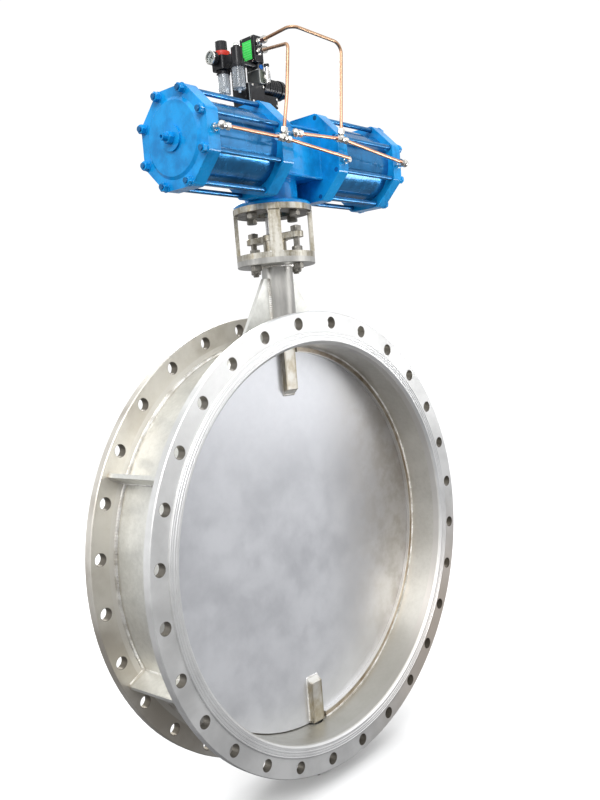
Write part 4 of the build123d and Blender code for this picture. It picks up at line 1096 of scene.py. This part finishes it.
def filter_trim():
    """Red ring, bowl collars, drains, filter element and the lubricator's sight dome."""
    at = Vector((FILTER.x, FILTER.y, 0))
    oiler = Vector((FILTER.x, OILER_Y, 0))
    ring = turned(at + Z * 1213.2 * MM, Z, rounded(0, 11.9 * MM, 20.5 * MM, 1 * MM), 64)
    piece("red_ring", *ring, RED)
    section = band(-0.4 * MM, 1.0 * MM, 7 * MM, 10.5 * MM, 0.4 * MM)
    crown = sleeve(at + Z * high("regulator_knob").z, Z, section)
    piece("knob_crown", *crown, BLACK_GLOSS, body="regulator")
    collars = []
    drains = []
    for centre, top in ((at, BOWL_TOP), (oiler, BOWL_TOP + 4 * MM)):
        bore = BOWL_R - 1 * MM
        for k in range(3):
            start = (-9 + 3 * k) * MM
            end = (-6.6 + 3 * k) * MM
            section = band(start, end, bore, BOWL_R + 1.7 * MM, 0.5 * MM)
            collars.append(sleeve(centre + Z * top, Z, section, 56))
        core = band(-9 * MM, -0.2 * MM, bore, BOWL_R + 0.9 * MM, 0.3 * MM)
        collars.append(sleeve(centre + Z * top, Z, core, 56))
        drain = [(0, 0), (0, 3), (5, 3), (6, 5), (9, 5), (9, 0)]
        drain = [(along * MM, radius * MM) for along, radius in drain]
        drains.append(turned(centre + Z * (BOWL_LOW - 7 * MM), Z, drain, 24))
    piece("bowl_collars", *merge(collars), BLACK_GLOSS)
    piece("bowl_drains", *merge(drains), WHITE)
    element = turned(at + Z * 1143 * MM, Z, rounded(0, 31 * MM, 9 * MM, 1 * MM), 32)
    piece("filter_element", *element, FELT)
    dome = [(0, 0), (0, 7.5 * MM)]
    for k in range(1, 9):
        turn = math.pi / 2 * k / 8
        dome.append(((3 + 6 * math.sin(turn)) * MM, 7.5 * math.cos(turn) * MM))
    top = high("lubricator_body").z
    piece("sight_dome", *turned(oiler + Z * top, Z, dome, 32), LENS)
    drip = turned(oiler + Z * (top - 0.2 * MM), Z, rounded(0, 5 * MM, 2 * MM, 0.4 * MM), 16)
    piece("drip_tube", *drip, PLATED)
    head = rounded(0, 3.4 * MM, 3.2 * MM, 0.5 * MM)
    screw = turned(oiler + Vector((7, -7, 1221.6)) * MM, Z, head, 20)
    piece("oil_screw", *screw, RED)


def gauge_trim():
    """Bezel, dial with its marks, and the glass; the dial's dark grey-green is a painted
    reflection.
    """
    at = Vector((0, GAUGE.y, GAUGE_Z))
    face = low("pressure_gauge").x
    inside = GAUGE_R - 2.2 * MM
    section = band(-1.0 * MM, 2.5 * MM, GAUGE_R - 2.4 * MM, GAUGE_R + 0.4 * MM, 0.7 * MM)
    piece("gauge_bezel", *sleeve(at + X * face, X, section, 64), PLATED)
    section = band(0, 0.25 * MM, 1.3 * MM, inside, 0.05 * MM)
    dial = sleeve(at + X * (face + 3.7 * MM), X, section, 64)
    piece("gauge_dial", *dial, REFLECTION_DIAL)
    marks = []
    for k in range(28):
        long = k % 3 == 0
        turn = math.radians(-45 + 10 * k)
        outward = Vector((0, math.cos(turn), math.sin(turn)))
        across = Vector((0, -math.sin(turn), math.cos(turn))) * (0.35 if long else 0.18) * MM
        inner = outward * (9.2 if long else 10.6) * MM
        outer = outward * 12.2 * MM
        near = at + X * (face + 3.60 * MM)
        far = at + X * (face + 3.75 * MM)
        verts = []
        for base in (near, far):
            for end in (inner, outer):
                verts += [base + end + across, base + end - across]
        marks.append((verts, BOX_FACES))
    piece("dial_marks", *merge(marks), WHITE)
    pane = rounded(0, 0.9 * MM, inside, 0.2 * MM)
    piece("gauge_glass", *turned(at + X * (face + 0.6 * MM), X, pane, 64), LENS)


green_label()
valve_block_trim()
switch_trim()
filter_trim()
gauge_trim()


# ======================= camera, floor and light =======================

CAMERA_AT = (-1.647, -1.401, 0.497)
CAMERA_YAW = math.radians(-48.38)
CAMERA_PITCH = math.radians(-5.57)
CAMERA_ROLL = math.radians(-4.56)
FLOOR_REACH = 60
ROOM_TONES = (
    (0.05, (0.16, 0.16, 0.17, 1)),
    (0.42, (0.45, 0.45, 0.46, 1)),
    (0.51, (0.80, 0.81, 0.83, 1)),
    (0.80, (0.98, 0.99, 1.0, 1)),
)


def set_camera():
    """Camera of the main view, turned by its yaw, pitch and roll."""
    level = math.cos(CAMERA_PITCH)
    forward = Vector((
        -math.sin(CAMERA_YAW) * level,
        math.cos(CAMERA_YAW) * level,
        math.sin(CAMERA_PITCH),
    ))
    right = Vector((math.cos(CAMERA_YAW), math.sin(CAMERA_YAW), 0))
    up = right.cross(forward)
    tilted_right = right * math.cos(CAMERA_ROLL) + up * math.sin(CAMERA_ROLL)
    tilted_up = up * math.cos(CAMERA_ROLL) - right * math.sin(CAMERA_ROLL)
    turn = Matrix((tilted_right, tilted_up, -forward)).transposed().to_4x4()
    data = bpy.data.cameras.new("camera")
    data.lens = 38.63
    data.sensor_width = 36
    data.shift_x = -0.008
    data.shift_y = 0.040
    camera = add_to_scene("camera", data)
    camera.matrix_world = Matrix.Translation(CAMERA_AT) @ turn
    bpy.context.scene.camera = camera


def set_floor():
    """Pale floor just below the bearing pot, left out of reflections."""
    look = Look("floor_paint", Roughness=1.0, Specular_IOR_Level=0.1)
    mottle = look.span(look.noise(2.0, 3.0), 0.3, 0.7)
    material = look.finish(look.blend(mottle, (0.93, 0.93, 0.93), (0.95, 0.95, 0.95)))
    level = cad_box[0][2] - 1 * MM
    far = FLOOR_REACH
    corners = [(-far, -far, level), (far, -far, level), (far, far, level), (-far, far, level)]
    mesh = bpy.data.meshes.new("floor")
    mesh.from_pydata(corners, [], [(0, 1, 2, 3)])
    mesh.materials.append(material)
    floor = add_to_scene("floor", mesh)
    floor.visible_glossy = False
    floor.visible_diffuse = False


def room_color(tree):
    """Colour of the room, from a dim floor to a bright ceiling."""
    place = tree.nodes.new("ShaderNodeTexCoord").outputs["Generated"]
    split = tree.nodes.new("ShaderNodeSeparateXYZ")
    tree.links.new(place, split.inputs[0])
    ramp = tree.nodes.new("ShaderNodeValToRGB")
    tones = ramp.color_ramp.elements
    for element, (position, color) in zip(tones, ROOM_TONES):
        element.position = position
        element.color = color
    for position, color in ROOM_TONES[2:]:
        tones.new(position).color = color
    height = tree.nodes.new("ShaderNodeMath")
    height.operation = "MULTIPLY_ADD"
    height.inputs[1].default_value = 0.5
    height.inputs[2].default_value = 0.5
    tree.links.new(split.outputs["Z"], height.inputs[0])
    tree.links.new(height.outputs[0], ramp.inputs["Fac"])
    return ramp.outputs["Color"]


def set_world():
    """A soft studio room round the object, behind it plain white."""
    world = bpy.data.worlds.new("studio")
    world.use_nodes = True
    tree = world.node_tree
    room = tree.nodes["Background"]
    tree.links.new(room_color(tree), room.inputs["Color"])
    room.inputs["Strength"].default_value = 0.85
    paper = tree.nodes.new("ShaderNodeBackground")
    paper.inputs["Color"].default_value = (1, 1, 1, 1)
    paper.inputs["Strength"].default_value = 1.05
    pick = tree.nodes.new("ShaderNodeMixShader")
    seen = tree.nodes.new("ShaderNodeLightPath").outputs["Is Camera Ray"]
    tree.links.new(seen, pick.inputs["Fac"])
    tree.links.new(room.outputs[0], pick.inputs[1])
    tree.links.new(paper.outputs[0], pick.inputs[2])
    tree.links.new(pick.outputs[0], tree.nodes["World Output"].inputs["Surface"])
    bpy.context.scene.world = world
    bpy.context.scene.view_settings.view_transform = "Standard"


def area_light(name, at, target, size, power, spread=180):
    """A rectangular lamp aimed at a point; a smaller spread narrows its beam."""
    data = bpy.data.lights.new(name, "AREA")
    data.shape = "RECTANGLE"
    data.size, data.size_y = size
    data.energy = power
    data.spread = math.radians(spread)
    light = add_to_scene(name, data)
    aim = (Vector(target) - Vector(at)).to_track_quat("-Z", "Y")
    light.matrix_world = Matrix.Translation(at) @ aim.to_matrix().to_4x4()


def set_lights():
    """Soft lamps round the object and a broad light from above."""
    centre = (0, STEM.y, 0.35)
    area_light("key", (-3.2, -2.4, 3.2), centre, (1.8, 1.8), 95)
    area_light("side", (-3.4, 1.4, 0.6), centre, (1.4, 1.8), 16)
    area_light("fill", (1.5, -1.25, 0.15), (0.1, 0, 1.05), (1.0, 0.5), 1.5, 40)
    area_light("front", (2.4, -3.6, 1.2), centre, (2.4, 2.4), 24)
    area_light("back", (1.5, 3.2, 2.6), centre, (1.5, 1.5), 60)
    sun = bpy.data.lights.new("skylight", "SUN")
    sun.energy = 1.5
    sun.angle = math.radians(100)
    aim = Vector((0.3, 0.45, -1)).to_track_quat("-Z", "Y")
    add_to_scene("skylight", sun).matrix_world = aim.to_matrix().to_4x4()


set_camera()
set_floor()
set_world()
set_lights()
